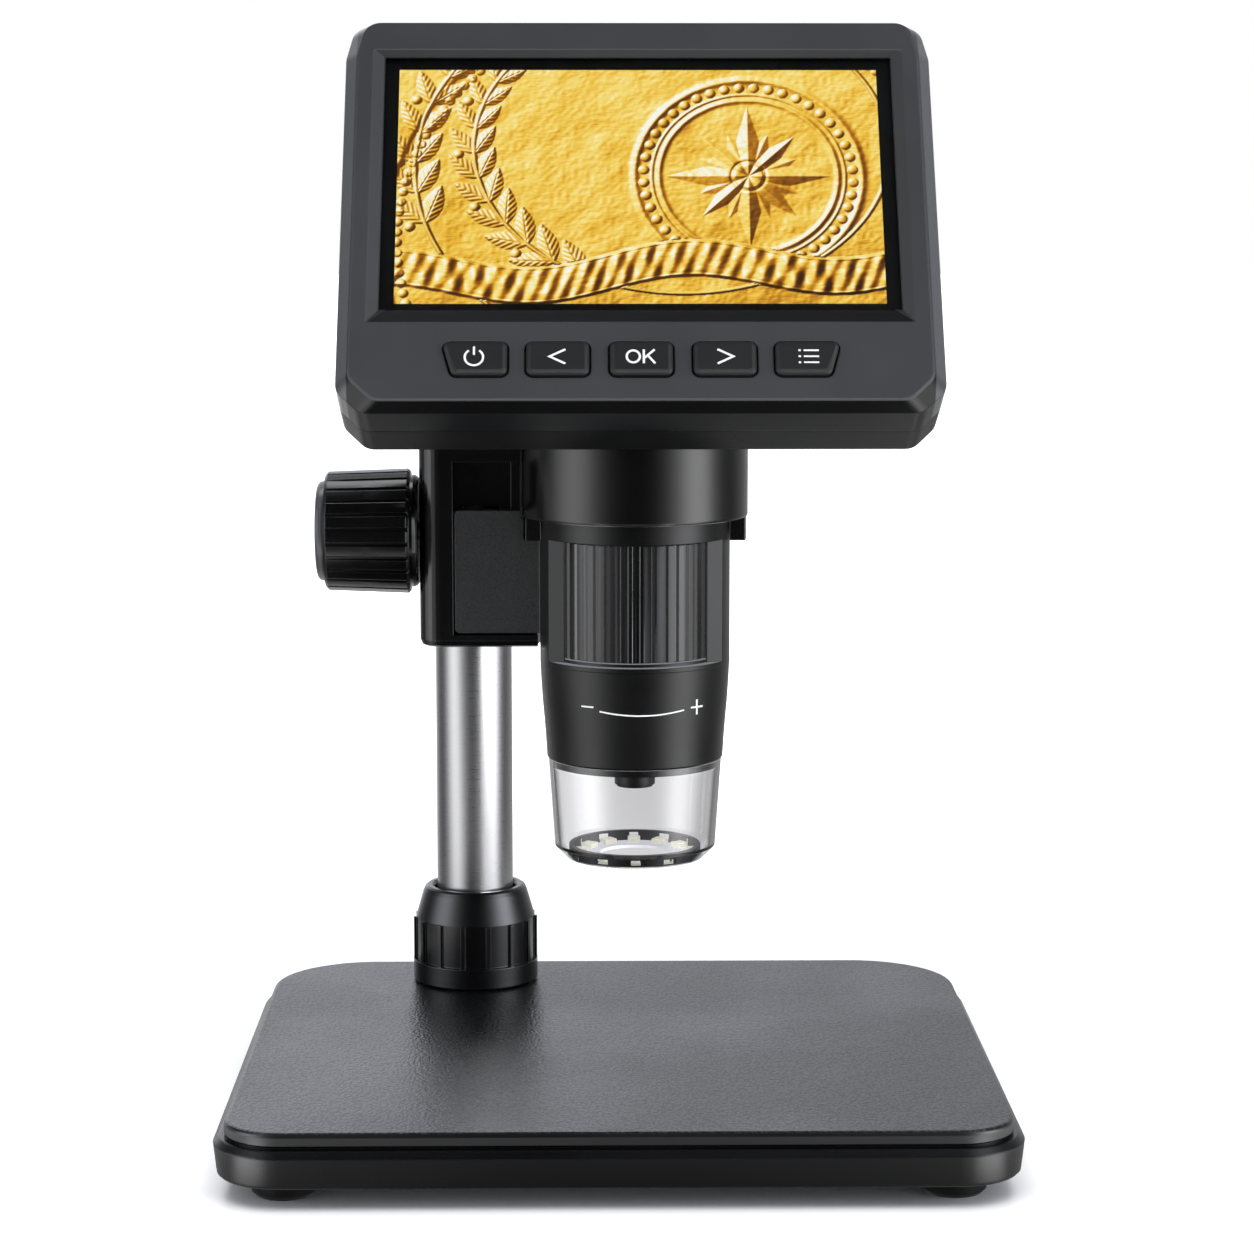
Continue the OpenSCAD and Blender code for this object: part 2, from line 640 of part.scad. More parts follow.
rack_count = ceil(carriage_h / rack_step) + 2;
function rack_half(v) = rack_step / 4 - backlash / 2 + v * tan(pressure_angle);
module rack() color(steel) at_pole() intersection() {
    box_z(rack_u0, rack_u1, rack_seat_v, rack_pitch_v + rack_tip, rack_z0, rack_z1);
    translate([rack_u0, 0, 0]) rotate([90, 0, 90]) linear_extrude(rack_u1 - rack_u0) union() {
        translate([rack_seat_v, rack_z0]) square([rack_back_v - rack_seat_v, rack_z1 - rack_z0]);
        // the pinion's front tooth stands in the gap at the shaft's height
        for (i = [-rack_count:rack_count]) translate([rack_pitch_v, shaft_z + (i + 0.5) * rack_step])
            polygon([
            [-rack_root - 0.1, -rack_half(rack_root)], [rack_tip, -rack_half(-rack_tip)],
            [rack_tip, rack_half(-rack_tip)], [-rack_root - 0.1, rack_half(rack_root)]
        ]);
    }
}
holder_screw_r = (ring_in + ring_out) / 2;
module holder_screw_places() for (a = [1, -12]) translate([barrel_u, barrel_v, seat_z - ring_h - 5.5])
    rotate([0, 0, a]) translate([-holder_screw_r, 0, 0]) children();
module holder_ring() color(black) at_pole() difference() {
    around_barrel(ring_out, seat_z - ring_h, seat_z);
    around_barrel(ring_in, seat_z - ring_h - 1, seat_z + 1);
    // mouth of the ring, open to the front
    box_z(barrel_u - 40, barrel_u + 40, barrel_v - 60, barrel_v - ring_front, seat_z - ring_h - 1,
        seat_z + 1);
    holder_screw_places() cylinder(h = 20, r = 0.85, $fn = 24);
    holder_screw_places() translate([0, 0, 4.7 + ring_h]) cylinder(h = 3, r = 1.3, $fn = 24);
}
module holder_screws() color(steel) at_pole() holder_screw_places() {
    translate([0, 0, 0.6]) cylinder(h = 4.2 + ring_h, r = 0.8, $fn = 24);
    translate([0, 0, 4.7 + ring_h]) cylinder(h = 0.75, r = 1.25, $fn = 24);
}

// ---------- barrel ----------

// Everything in front of the head's back plane
module head_space() at_screen() box_z(-200, 200, head_t - 200, head_t, -200, 200);
// Everything above the sloping roof of the neck
module above_roof(down) translate([0, barrel_y + neck_r, roof_z - down]) rotate([-roof_angle, 0, 0])
    box_z(-100, 100, -150, 60, 0, 150);
module neck_boss_places() at_screen() for (p = NECK_SCREWS) translate([p.x, head_t, p.y])
    rotate([-90, 0, 0]) children();
module neck() color(black) difference() {
    at_barrel() rotate_extrude() polygon([
        [0, seat_z], [neck_r - 0.6, seat_z], [neck_r - 0.17, seat_z + 0.17], [neck_r, seat_z + 0.6],
        [neck_r, screen_z + 20], [0, screen_z + 20]
    ]);
    difference() {
        at_barrel() translate([0, 0, seat_z + neck_floor])
            cylinder(h = screen_z + 30 - seat_z, r = neck_r - neck_wall);
        above_roof(neck_wall * 1.4);
        neck_boss_places() translate([0, 0, -2]) cylinder(h = 10, r = boss_r);
    }
    at_barrel() translate([0, 0, seat_z - 1]) cylinder(h = 10, r = spigot_r + run_fit);
    above_roof(0);
    head_space();
    neck_boss_places() translate([0, 0, -2]) cylinder(h = 9, r = screw_r + run_fit, $fn = 24);
}
module neck_screws() color(steel) neck_boss_places() translate([0, 0, -shell_wall - 0.01])
    screw(shell_wall + 5);
module wheel_window() translate([0, 0, window_bottom]) linear_extrude(window_top - window_bottom) polygon([
    [-cheek_a.x, 0], -cheek_a, -cheek_b, [-cheek_b.x, -barrel_r - 2],
    [cheek_b.x, -barrel_r - 2], [cheek_b.x, -cheek_b.y], [cheek_a.x, -cheek_a.y], [cheek_a.x, 0]
]);
module barrel_shell() color(black) at_barrel() difference() {
    union() {
        translate([0, 0, seam_z]) cylinder(h = shell_h, r = barrel_r);
        translate([0, 0, seat_z - eps]) cylinder(h = spigot_h, r = spigot_r);
    }
    translate([0, 0, seam_z - 1]) cylinder(h = window_top - seam_z + 1, r = wheel_room_r);
    translate([0, 0, window_top - 1]) cylinder(h = 10, r = spigot_r - 3.5);
    translate([0, 0, seat_z]) cylinder(h = spigot_h + 1, r = spigot_r - 2);
    wheel_window();
}
LOWER_FLARE = [0.185, 0.407, 0.667, 0.852, 1];
module lower_barrel() color(black) at_barrel() difference() {
    union() {
        rotate_extrude() polygon(concat(
            [[0, lower_z], [lower_end_r - 0.3, lower_z], [lower_end_r, lower_z + 0.3]],
            [for (k = [0:4]) [lower_end_r + (barrel_r - lower_end_r) * LOWER_FLARE[k],
                              lower_z + 0.3 + (lower_h - 0.3) * (k + 1) / 5]],
            [[0, seam_z]]
        ));
        translate([0, 0, seam_z - eps]) cylinder(h = rim_z - seam_z, r = wheel_room_r - run_fit);
        translate([0, 0, lower_z - plug_h]) cylinder(h = plug_h + eps, r = plug_r);
    }
    difference() {
        translate([0, 0, lower_z + 1.6]) cylinder(h = lower_h + 3, r = plug_r - 0.8);
        translate([0, 0, diaphragm_z]) cylinder(h = diaphragm_t, r = plug_r);
    }
    difference() {
        translate([0, 0, diaphragm_z - 1]) cylinder(h = diaphragm_t + 2, r = tube_r + run_fit);
        for (sx = [-1, 1]) translate([sx * (tube_r + 1), 0, diaphragm_z - 1])
            box_z(-1 - key_tab, 1, -0.7, 0.7, 0, 6);
    }
    translate([0, 0, lower_z - plug_h - 1]) cylinder(h = plug_h + 1, r = plug_r - 1.2);
    translate([0, 0, lower_z - 1]) cylinder(h = 4, r = nozzle_r + 0.35);
}
module wheel_outline() difference() {
    circle(wheel_r);
    for (i = [0:wheel_ribs - 1]) rotate([0, 0, (i + 0.5) * 360 / wheel_ribs - 90]) translate([wheel_r, 0])
        polygon([[-rib_deep, -0.35], [0.5, -0.65], [0.5, 0.65], [-rib_deep, 0.35]]);
}
module focus_wheel() color(dark_grey) at_barrel() difference() {
    union() {
        translate([0, 0, wheel_z0]) linear_extrude(wheel_z1 - wheel_z0) difference() {
            wheel_outline();
            circle(wheel_r - wheel_wall);
        }
        translate([0, 0, web_z - 2]) cylinder(h = 4, r = wheel_r - wheel_wall + 0.2);
        translate([0, 0, web_z - 5]) cylinder(h = 10, r = hub_r);
    }
    translate([0, 0, wheel_z0 - 1]) cylinder(h = wheel_z1 - wheel_z0 + 2, r = tube_r + run_fit);
}
module lens_tube() color(black) at_barrel() difference() {
    union() {
        translate([0, 0, tube_z0]) cylinder(h = tube_z1 - tube_z0, r = tube_r);
        translate([0, 0, nozzle_z + nozzle_tip_h]) cylinder(h = tube_z0 - nozzle_z - nozzle_tip_h + eps,
            r = nozzle_r);
        translate([0, 0, nozzle_z]) cylinder(h = nozzle_tip_h + eps, r = nozzle_tip_r);
    }
    translate([0, 0, nozzle_z - 1]) cylinder(h = tube_z0 - nozzle_z + 4, r = lens_r);
    translate([0, 0, tube_z0 + 2]) cylinder(h = tube_z1 - tube_z0, r = tube_bore);
    for (sx = [-1, 1]) translate([sx * (tube_r + 1), 0, tube_z0 - 1])
        box_z(-1.3 - key_tab, 1.3 + key_tab, -0.8, 0.8, 0, web_z - 6 - tube_z0);
}
module objective_lens() color(clear) at_barrel() translate([0, 0, nozzle_z + 0.6])
    cylinder(h = 1.4, r = lens_r - 0.02);
module rear_lens() color(clear) at_barrel() translate([0, 0, tube_z1 - 6])
    cylinder(h = 2.5, r = tube_bore - 0.02);
module sensor_board() color(board_green) at_barrel() translate([0, 0, seat_z])
    cylinder(h = 1.2, r = spigot_r - 2.1);
module image_sensor() color("black") at_barrel() translate([0, 0, seat_z - 1]) linear_extrude(1)
    square(8, center = true);

module clear_cover() color(clear) at_barrel() difference() {
    rotate_extrude() polygon([
        [0, clear_z], [clear_tip_r, clear_z], [clear_low_r, clear_mid], [lower_end_r - 0.25,
            lower_z - 0.05],
        [0, lower_z - 0.05]
    ]);
    rotate_extrude() polygon([
        [0, clear_z + clear_floor], [clear_tip_r - 0.4, clear_z + clear_floor],
        [clear_low_r - clear_wall, clear_mid + 0.5], [plug_r + run_fit, lower_z - plug_h - 0.4],
        [plug_r + run_fit, lower_z + 1], [0, lower_z + 1]
    ]);
    translate([0, 0, clear_z - 1]) cylinder(h = 3, r = clear_hole);
}
module lamp_places() for (i = [0:lamp_count - 1]) rotate([0, 0, i * 360 / lamp_count - 90])
    translate([lamp_ring, 0, 0]) children();
// Black band round the lamps, with a window at each lamp in turn wide and narrow
module led_frame() color(black) at_barrel() translate([0, 0, clear_z + clear_floor]) difference() {
    ring(frame_out, frame_out - frame_t, frame_h);
    for (i = [0:lamp_count - 1]) rotate([0, 0, i * 360 / lamp_count - 90])
        translate([frame_out, 0, frame_h / 2]) cube([4 * frame_t, i % 2 == 0 ? notch_w : window_w,
            frame_h - 0.8], center = true);
}
module leds() color("lightyellow") at_barrel() translate([0, 0, clear_z + clear_floor])
    lamp_places() linear_extrude(lamp_h) square(lamp_size, center = true);

// ---------- head ----------

// Outline of the head: steep cuts at the top corners, slanted ones at the bottom
module head_outline(half_w, up, down, soft = 3.5) offset(r = soft, $fn = 32) offset(delta = -soft) polygon([
    [-half_w, up - 7.7], [-half_w + 1.7, up], [half_w - 1.7, up], [half_w, up - 7.7],
    [half_w, -down + foot_cut], [half_w - 4.8, -down], [-half_w + 4.8, -down], [-half_w, -down + foot_cut]
]);
module face_outline(inset) head_outline(face_half_w - inset, face_up - inset, face_down - inset);
module part_outline() head_outline(face_half_w + part_side, face_up + part_top, face_down + part_foot);
module back_outline(inset) head_outline(face_half_w + back_side - inset, face_up + back_top - inset,
    face_down + back_foot - inset);
module inner_outline(inset = shell_wall) head_outline(face_half_w - inset, face_up - inset,
    face_down - inset, 1.5);
module window_rect(side, top, bottom) translate([-lcd_w / 2 - side, -lcd_h / 2 - bottom])
    square([lcd_w + 2 * side, lcd_h + top + bottom]);
// Outline of key i; the two end keys are wider and slant outwards
module key_outline(i, inset) {
    end = i == 0 ? -1 : i == 4 ? 1 : 0;
    w = (end == 0 ? key_w : key_end_w) / 2 - inset;
    top = key_h / 2 - inset;
    translate([KEY_XS[i], key_row_z]) offset(r = key_round - inset, $fn = 24)
        offset(delta = inset - key_round) polygon([
        [-w, top], [w, top], [w - (end == 1 ? key_slant : 0), -top], [-w + (end == -1 ? key_slant : 0),
            -top]
    ]);
}
module front_bezel() color(dark_grey) at_screen() difference() {
    hull() {
        slab(0, eps) face_outline(0.4);
        slab(0.25, 0.26) face_outline(0.08);
        slab(ridge_t, ridge_t + eps) head_outline(face_half_w + ridge_side, face_up + ridge_top,
            face_down + ridge_foot);
        slab(part_t - eps, part_t) part_outline();
    }
    difference() {
        slab(shell_wall, part_t + 1) inner_outline();
        for (p = CASE_SCREWS) translate([p.x, 0, p.y]) rotate([-90, 0, 0])
            cylinder(h = part_t, r = case_boss_r);
    }
    for (p = CASE_SCREWS) translate([p.x, shell_wall + 1, p.y]) rotate([-90, 0, 0])
        cylinder(h = part_t, r = screw_r + run_fit, $fn = 24);
    hull() {
        slab(-eps, 0) window_rect(border_side + bevel_side, border_top + bevel_top,
            border_bottom + bevel_bottom);
        slab(bevel_t, bevel_t + eps) window_rect(border_side, border_top, border_bottom);
    }
    slab(bevel_t + eps, shell_wall + 1)
        window_rect(border_side + glass_lap, border_top + glass_lap, border_bottom + glass_lap);
    for (i = [0:4]) slab(-1, shell_wall + 1) key_outline(i, 0);
}
module rear_case() color(black) difference() {
    at_screen() difference() {
        union() {
            difference() {
                hull() {
                    slab(part_t, part_t + eps)
                        part_outline();
                    slab(head_t - back_edge, head_t - back_edge + eps) back_outline(0);
                    slab(head_t - eps, head_t) back_outline(back_edge);
                }
                slab(part_t - 1, head_t - shell_wall) inner_outline();
            }
            for (p = CASE_SCREWS) translate([p.x, part_t, p.y]) rotate([-90, 0, 0])
                cylinder(h = head_t - part_t - shell_wall + 0.5, r = case_boss_r + 0.8);
        }
        for (p = CASE_SCREWS) translate([p.x, 0, p.y]) rotate([-90, 0, 0]) {
            cylinder(h = head_t + 1, r = screw_r + slip, $fn = 24);
            translate([0, 0, head_t - screw_head_h - 0.6])
                cylinder(h = 10, r = screw_head_r + slip, $fn = 24);
        }
        // charging port and card slot through the top wall
        box_z(port_x - 3.9, port_x + 3.9, port_t - 1.5, port_t + 1.5, face_up - shell_wall - 1,
            face_up + 10);
        box_z(slot_x - 6, slot_x + 6, port_t - 0.9, port_t + 0.9, face_up - shell_wall - 1, face_up + 10);
        translate([0, head_t - shell_wall - 1, -10]) rotate([-90, 0, 0]) cylinder(h = 10, r = 7);
    }
    neck_boss_places() translate([0, 0, -shell_wall - 1])
        cylinder(h = shell_wall + 2, r = screw_r + slip, $fn = 24);
}
module cover_glass() color(clear) at_screen() slab(glass_z, glass_z + glass_t)
    window_rect(border_side + glass_lap - slip, border_top + glass_lap - slip,
        border_bottom + glass_lap - slip);
module lcd_panel() color("gold") at_screen() slab(lcd_front, lcd_front + lcd_t)
    window_rect(lcd_rim_side, lcd_rim_top, lcd_rim_bottom);
module main_board() color(board_green) at_screen() difference() {
    slab(board_front, board_front + board_t) inner_outline(shell_wall + 0.8);
    for (p = CASE_SCREWS) translate([p.x, 0, p.y]) rotate([-90, 0, 0])
        cylinder(h = head_t, r = case_boss_r + 1);
}
module tact_switches() color(steel) at_screen() for (x = KEY_XS)
    translate([x, board_front - switch_h, key_row_z]) {
    box_z(-3, 3, 0, switch_h, -3, 3);
    translate([0, eps, 0]) rotate([90, 0, 0]) cylinder(h = plunger_h + eps, r = plunger_r);
}
module battery() color("silver") at_screen() box_z(
    -battery_half_w, battery_half_w, battery_t0, head_t - shell_wall - 2, battery_up - battery_h,
        battery_up);
module usb_port() color(steel) at_screen() difference() {
    box_z(port_x - 3.7, port_x + 3.7, port_t - 1.35, port_t + 1.35, face_up - 6.2, face_up + 0.2);
    box_z(port_x - 3.3, port_x + 3.3, port_t - 0.95, port_t + 0.95, face_up - 5, face_up + 1);
}
module card_slot() color(steel) at_screen() difference() {
    box_z(slot_x - 5.8, slot_x + 5.8, port_t - 0.8, port_t + 0.8, face_up - 14, face_up - 0.8);
    box_z(slot_x - 5.4, slot_x + 5.4, port_t - 0.4, port_t + 0.4, face_up - 13, face_up + 1);
}
module case_screws() color(steel) at_screen() for (p = CASE_SCREWS)
    translate([p.x, head_t - screw_head_h - 0.6, p.y]) rotate([90, 0, 0]) {
        cylinder(h = head_t - screw_head_h - 0.6 - part_t + 5.5, r = screw_r, $fn = 24);
        translate([0, 0, -screw_head_h]) cylinder(h = screw_head_h, r = screw_head_r, $fn = 24);
    }
// A key: pillow-shaped cap, flange behind the bezel and a stem over its switch
module key(i) color(dark_grey) at_screen() {
    hull() {
        slab(-key_proud, -key_proud + eps) key_outline(i, key_gap + 0.9);
        slab(-key_proud + 0.2, -key_proud + 0.21) key_outline(i, key_gap + 0.35);
        slab(-key_proud + 0.6, shell_wall + 0.2) key_outline(i, key_gap);
    }
    slab(shell_wall + 0.1, shell_wall + 0.1 + key_flange_t) key_outline(i, -key_flange);
    slab(shell_wall + key_flange_t, stem_end) translate([KEY_XS[i], key_row_z]) circle(1.6);
}

base_body();
stage_plate();
bottom_cover();
ballast_plate();
rubber_feet();
base_screws();
pole_socket();
socket_screws();
collar_nut();
pole();
pole_cap();
focus_housing();
clamp_screws();
shaft_bushing();
pinion();
knob_shaft();
focus_knob();
knob_cap();
knob_screw();
carriage();
rack();
holder_ring();
holder_screws();
neck();
neck_screws();
barrel_shell();
lower_barrel();
focus_wheel();
lens_tube();
objective_lens();
rear_lens();
sensor_board();
image_sensor();
clear_cover();
led_frame();
leds();
front_bezel();
rear_case();
cover_glass();
lcd_panel();
main_board();
tact_switches();
battery();
usb_port();
card_slot();
case_screws();
key(0);  // key_power
key(1);  // key_left
key(2);  // key_ok
key(3);  // key_right
key(4);  // key_menu
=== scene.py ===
import math
import bmesh
import bpy
import numpy as np
from mathutils import Matrix, Vector


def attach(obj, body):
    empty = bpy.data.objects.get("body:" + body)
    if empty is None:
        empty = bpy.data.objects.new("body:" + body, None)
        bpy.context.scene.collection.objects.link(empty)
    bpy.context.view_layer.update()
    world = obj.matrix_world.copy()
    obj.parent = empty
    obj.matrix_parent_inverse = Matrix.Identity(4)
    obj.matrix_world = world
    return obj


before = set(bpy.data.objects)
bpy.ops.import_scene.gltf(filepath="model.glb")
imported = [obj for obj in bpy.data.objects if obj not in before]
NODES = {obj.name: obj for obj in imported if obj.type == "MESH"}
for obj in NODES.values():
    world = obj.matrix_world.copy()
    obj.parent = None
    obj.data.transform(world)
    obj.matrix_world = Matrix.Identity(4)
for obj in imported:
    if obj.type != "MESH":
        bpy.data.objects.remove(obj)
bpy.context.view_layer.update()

MM = 0.001

# Places in the shared frame, in millimetres: the barrel's axis (x, y), and the head's front over the middle of the
# screen
BARREL = (4.15, 31.75)
HEAD = Matrix.Translation((4.75, 15.45, 182.5)) @ Matrix.Rotation(math.radians(-32.6), 4, "X")

# The head in its own axes, in millimetres: x to the right, y into the head, z up its front
LCD = (95.04, 53.86)
LCD_DEPTH = 2.67
KEYS = ("power", "left", "ok", "right", "menu")
KEY_XS = (-31.8, -15.9, 0.0, 15.9, 31.8)
KEY_Z = -40.5
KEY_FACE = -1.15
# The window round the screen: half its width and height, and the height of its middle
WINDOW_HALF = (52.6, 31.3)
WINDOW_MID = -1.05
# How far out the flanks with painted side light begin, and how deep the edge round the head and the rear case's seam
# lie
FLANK_X = 55.9
RIDGE = 4.0
PARTING = 11.5


# ---------------------------------------------------------------- camera

cam = bpy.data.cameras.new("camera")
cam.lens = 91.9
cam.sensor_width = 36
cam.sensor_fit = "HORIZONTAL"
cam.clip_start = 0.01
cam.clip_end = 100
camera = bpy.data.objects.new("camera", cam)
camera.location = (-0.0065, -0.61625, 0.1811)
camera.rotation_euler = (math.radians(82.15), 0, math.radians(-0.80))
bpy.context.scene.collection.objects.link(camera)
bpy.context.scene.camera = camera
bpy.context.scene.view_settings.view_transform = "Standard"
bpy.context.scene.view_settings.look = "None"


# ---------------------------------------------------------------- node helpers

COOL = (0.96, 0.98, 1.05)
NEUTRAL = (1.0, 1.0, 1.0)


def grey(level, tint=NEUTRAL):
    return tuple(level * t for t in tint)


class Tree:
    """A few short calls that lay out the nodes of one tree."""

    def __init__(self, nt, coord=None):
        self.nt = nt
        nt.nodes.clear()
        if coord:
            self.coord = self.node("ShaderNodeTexCoord").outputs[coord]

    def node(self, kind, **values):
        n = self.nt.nodes.new(kind)
        for k, v in values.items():
            setattr(n, k, v)
        return n

    def link(self, a, b):
        self.nt.links.new(a, b)

    def put(self, socket, value):
        """Links the socket to another one, or sets a number or a colour on it."""
        if isinstance(value, bpy.types.NodeSocket):
            self.link(value, socket)
        elif socket.type == "RGBA":
            socket.default_value = (*value, 1)
        else:
            socket.default_value = value

    def scaled(self, *scale):
        m = self.node("ShaderNodeMapping")
        self.link(self.coord, m.inputs["Vector"])
        m.inputs["Scale"].default_value = scale
        return m.outputs[0]

    def axes(self, vector):
        split = self.node("ShaderNodeSeparateXYZ")
        self.link(vector, split.inputs[0])
        return split.outputs[0], split.outputs[1], split.outputs[2]

    def math(self, op, a, b=0.0):
        n = self.node("ShaderNodeMath", operation=op)
        self.put(n.inputs[0], a)
        self.put(n.inputs[1], b)
        return n.outputs[0]

    def add(self, first, *others):
        for term in others:
            first = self.math("ADD", first, term)
        return first

    def minus(self, a, b):
        return self.math("SUBTRACT", a, b)

    def times(self, first, *others):
        for factor in others:
            first = self.math("MULTIPLY", first, factor)
        return first

    def noise(self, scale, detail=2.0, rough=0.5, distortion=0.0, vector=None):
        n = self.node("ShaderNodeTexNoise")
        self.link(vector or self.coord, n.inputs["Vector"])
        n.inputs["Scale"].default_value = scale
        n.inputs["Detail"].default_value = detail
        n.inputs["Roughness"].default_value = rough
        n.inputs["Distortion"].default_value = distortion
        return n.outputs["Fac"]

    def cells(self, scale, feature="SMOOTH_F1", randomness=1.0, vector=None):
        n = self.node("ShaderNodeTexVoronoi", feature=feature)
        self.link(vector or self.coord, n.inputs["Vector"])
        n.inputs["Scale"].default_value = scale
        n.inputs["Randomness"].default_value = randomness
        return n.outputs["Distance"]

    def span(self, value, lo, hi, to_lo, to_hi):
        """Carries a value smoothly from lo..hi to to_lo..to_hi, and holds it at the ends."""
        n = self.node("ShaderNodeMapRange", interpolation_type="SMOOTHSTEP")
        self.link(value, n.inputs["Value"])
        for k, v in (("From Min", lo), ("From Max", hi), ("To Min", to_lo), ("To Max", to_hi)):
            n.inputs[k].default_value = v
        return n.outputs[0]

    def ramp(self, value, *stops, interpolation="LINEAR"):
        n = self.node("ShaderNodeValToRGB")
        self.link(value, n.inputs[0])
        n.color_ramp.interpolation = interpolation
        elements = n.color_ramp.elements
        while len(elements) < len(stops):
            elements.new(0.5)
        for element, (position, colour) in zip(elements, stops):
            element.position = position
            element.color = (*colour, 1)
        return n.outputs[0]

    def mix(self, factor, a, b, blend="MIX"):
        n = self.node("ShaderNodeMix", data_type="RGBA", blend_type=blend)
        self.put(n.inputs["Factor"], factor)
        self.put(n.inputs[6], a)
        self.put(n.inputs[7], b)
        return n.outputs[2]

    def product(self, a, b):
        return self.mix(1.0, a, b, "MULTIPLY")

    def seen_or_lit(self, seen, lit, out):
        """The camera sees one shader; light and reflections get the other."""
        n = self.node("ShaderNodeMixShader")
        self.link(self.node("ShaderNodeLightPath").outputs["Is Camera Ray"], n.inputs[0])
        self.link(lit, n.inputs[1])
        self.link(seen, n.inputs[2])
        self.link(n.outputs[0], out)


class Material(Tree):
    """A Principled material in the object's own coordinates, which are the shared frame's."""

    def __init__(self, name):
        self.mat = bpy.data.materials.new(name)
        self.mat.use_nodes = True
        super().__init__(self.mat.node_tree, "Object")
        self.out = self.node("ShaderNodeOutputMaterial")
        self.bsdf = self.node("ShaderNodeBsdfPrincipled")
        self.link(self.bsdf.outputs[0], self.out.inputs["Surface"])

    def head_local(self):
        """Place in the head's own axes, in millimetres."""
        m = self.node("ShaderNodeMapping", vector_type="TEXTURE")
        self.link(self.coord, m.inputs["Vector"])
        m.inputs["Location"].default_value = HEAD.to_translation() * MM
        m.inputs["Rotation"].default_value = HEAD.to_euler()
        m.inputs["Scale"].default_value = (MM, MM, MM)
        return self.axes(m.outputs[0])

    def greys(self, value, dark, light, tint=COOL):
        return self.ramp(value, (0.3, grey(dark, tint)), (0.7, grey(light, tint)))

    def drift(self):
        """Slow variation over a few centimetres."""
        return self.noise(38.0, 3.0, 0.55)

    def rubbed(self, slow, rough):
        """Roughness that drifts a little, with a few rubbed, shinier spots."""
        spots = self.noise(190.0, 5.0, 0.65)
        return self.add(self.span(slow, 0.3, 0.7, rough - 0.03, rough + 0.03),
                        self.span(spots, 0.6, 0.75, 0.0, -0.05))

    def bump(self, height, depth, strength=1.0, normal=None):
        n = self.node("ShaderNodeBump")
        n.inputs["Distance"].default_value = depth
        n.inputs["Strength"].default_value = strength
        self.link(height, n.inputs["Height"])
        if normal is not None:
            self.link(normal, n.inputs["Normal"])
        return n.outputs[0]

    def edges(self, radius):
        """Soft rounding of the sharp CAD edges, as a moulded part has."""
        n = self.node("ShaderNodeBevel", samples=6)
        n.inputs["Radius"].default_value = radius
        return n.outputs[0]

    def set(self, **values):
        for k, v in values.items():
            self.put(self.bsdf.inputs[k.replace("_", " ")], v)
        return self.mat


# ---------------------------------------------------------------- materials

def moulded(name, level, rough, grain=2600.0, depth=0.00002, edge=0.0003, ior=1.48):
    """Injection-moulded plastic: spark-eroded grain, slow colour and gloss variation, a few rubbed spots."""
    t = Material(name)
    spread = 0.12
    fine = t.noise(grain, 3.0, 0.6)
    slow = t.drift()
    return t.set(Base_Color=t.greys(slow, level * (1 - spread), level * (1 + spread)),
                 Roughness=t.rubbed(slow, rough), Normal=t.bump(fine, depth, 0.6, t.edges(edge)), IOR=ior)


def grained_coat(name, level, rough, cell, depth, worn, edge=0.0003, top=None):
    """Pebble-grained coating: rounded grains, shiny on top and dull in the creases by the two levels in worn.
    Below the height top the coat is smooth."""
    t = Material(name)
    laid = t.scaled(1.0, 0.6, 1.0)
    warp = t.noise(500.0, 2.0, 0.5)
    big = t.cells(cell, vector=laid)
    fine = t.noise(cell * 2.2, 3.0, 0.6, 0.4, vector=laid)
    slow = t.noise(26.0, 3.0, 0.5)
    height = t.add(t.times(big, -1.1), t.times(warp, 0.7), t.times(fine, 0.45))
    colour = t.ramp(t.add(t.times(fine, 0.5), t.times(slow, 0.5)),
                    (0.35, grey(level * 0.78, COOL)), (0.65, grey(level * 1.2, COOL)))
    gloss = t.span(slow, 0.3, 0.7, rough - 0.03, rough + 0.04)
    shine = t.add(t.span(big, 0.15, 0.6, worn[1], worn[0]), t.span(fine, 0.35, 0.65, -0.12, 0.12))
    if top:
        grained = t.span(t.axes(t.coord)[2], top - 0.0004, top - 0.0001, 0.0, 1.0)
        middle = (worn[0] + worn[1]) / 2
        shine = t.add(t.times(t.minus(shine, middle), grained), middle)
        height = t.times(height, grained)
    return t.set(Base_Color=colour, Roughness=gloss, Specular_IOR_Level=shine,
                 Normal=t.bump(height, depth, 0.75, t.edges(edge)), IOR=1.7)


def metal(name, colour, rough, stretch, depth=0.000004, vary=0.08, spread=0.05):
    """Drawn or turned metal with fine marks along the direction in which stretch is smallest."""
    t = Material(name)
    marks = t.noise(1.0, 4.0, 0.7, vector=t.scaled(*stretch))
    slow = t.noise(60.0, 2.0, 0.5)
    tone = t.ramp(t.add(t.times(marks, 0.6), t.times(slow, 0.4)),
                  (0.35, grey(1 - spread, colour)), (0.65, grey(1 + spread, colour)))
    gloss = t.span(marks, 0.3, 0.7, rough - vary * 0.4, rough + vary * 0.6)
    return t.set(Base_Color=tone, Metallic=1.0, Roughness=gloss, Normal=t.bump(marks, depth, 0.5))


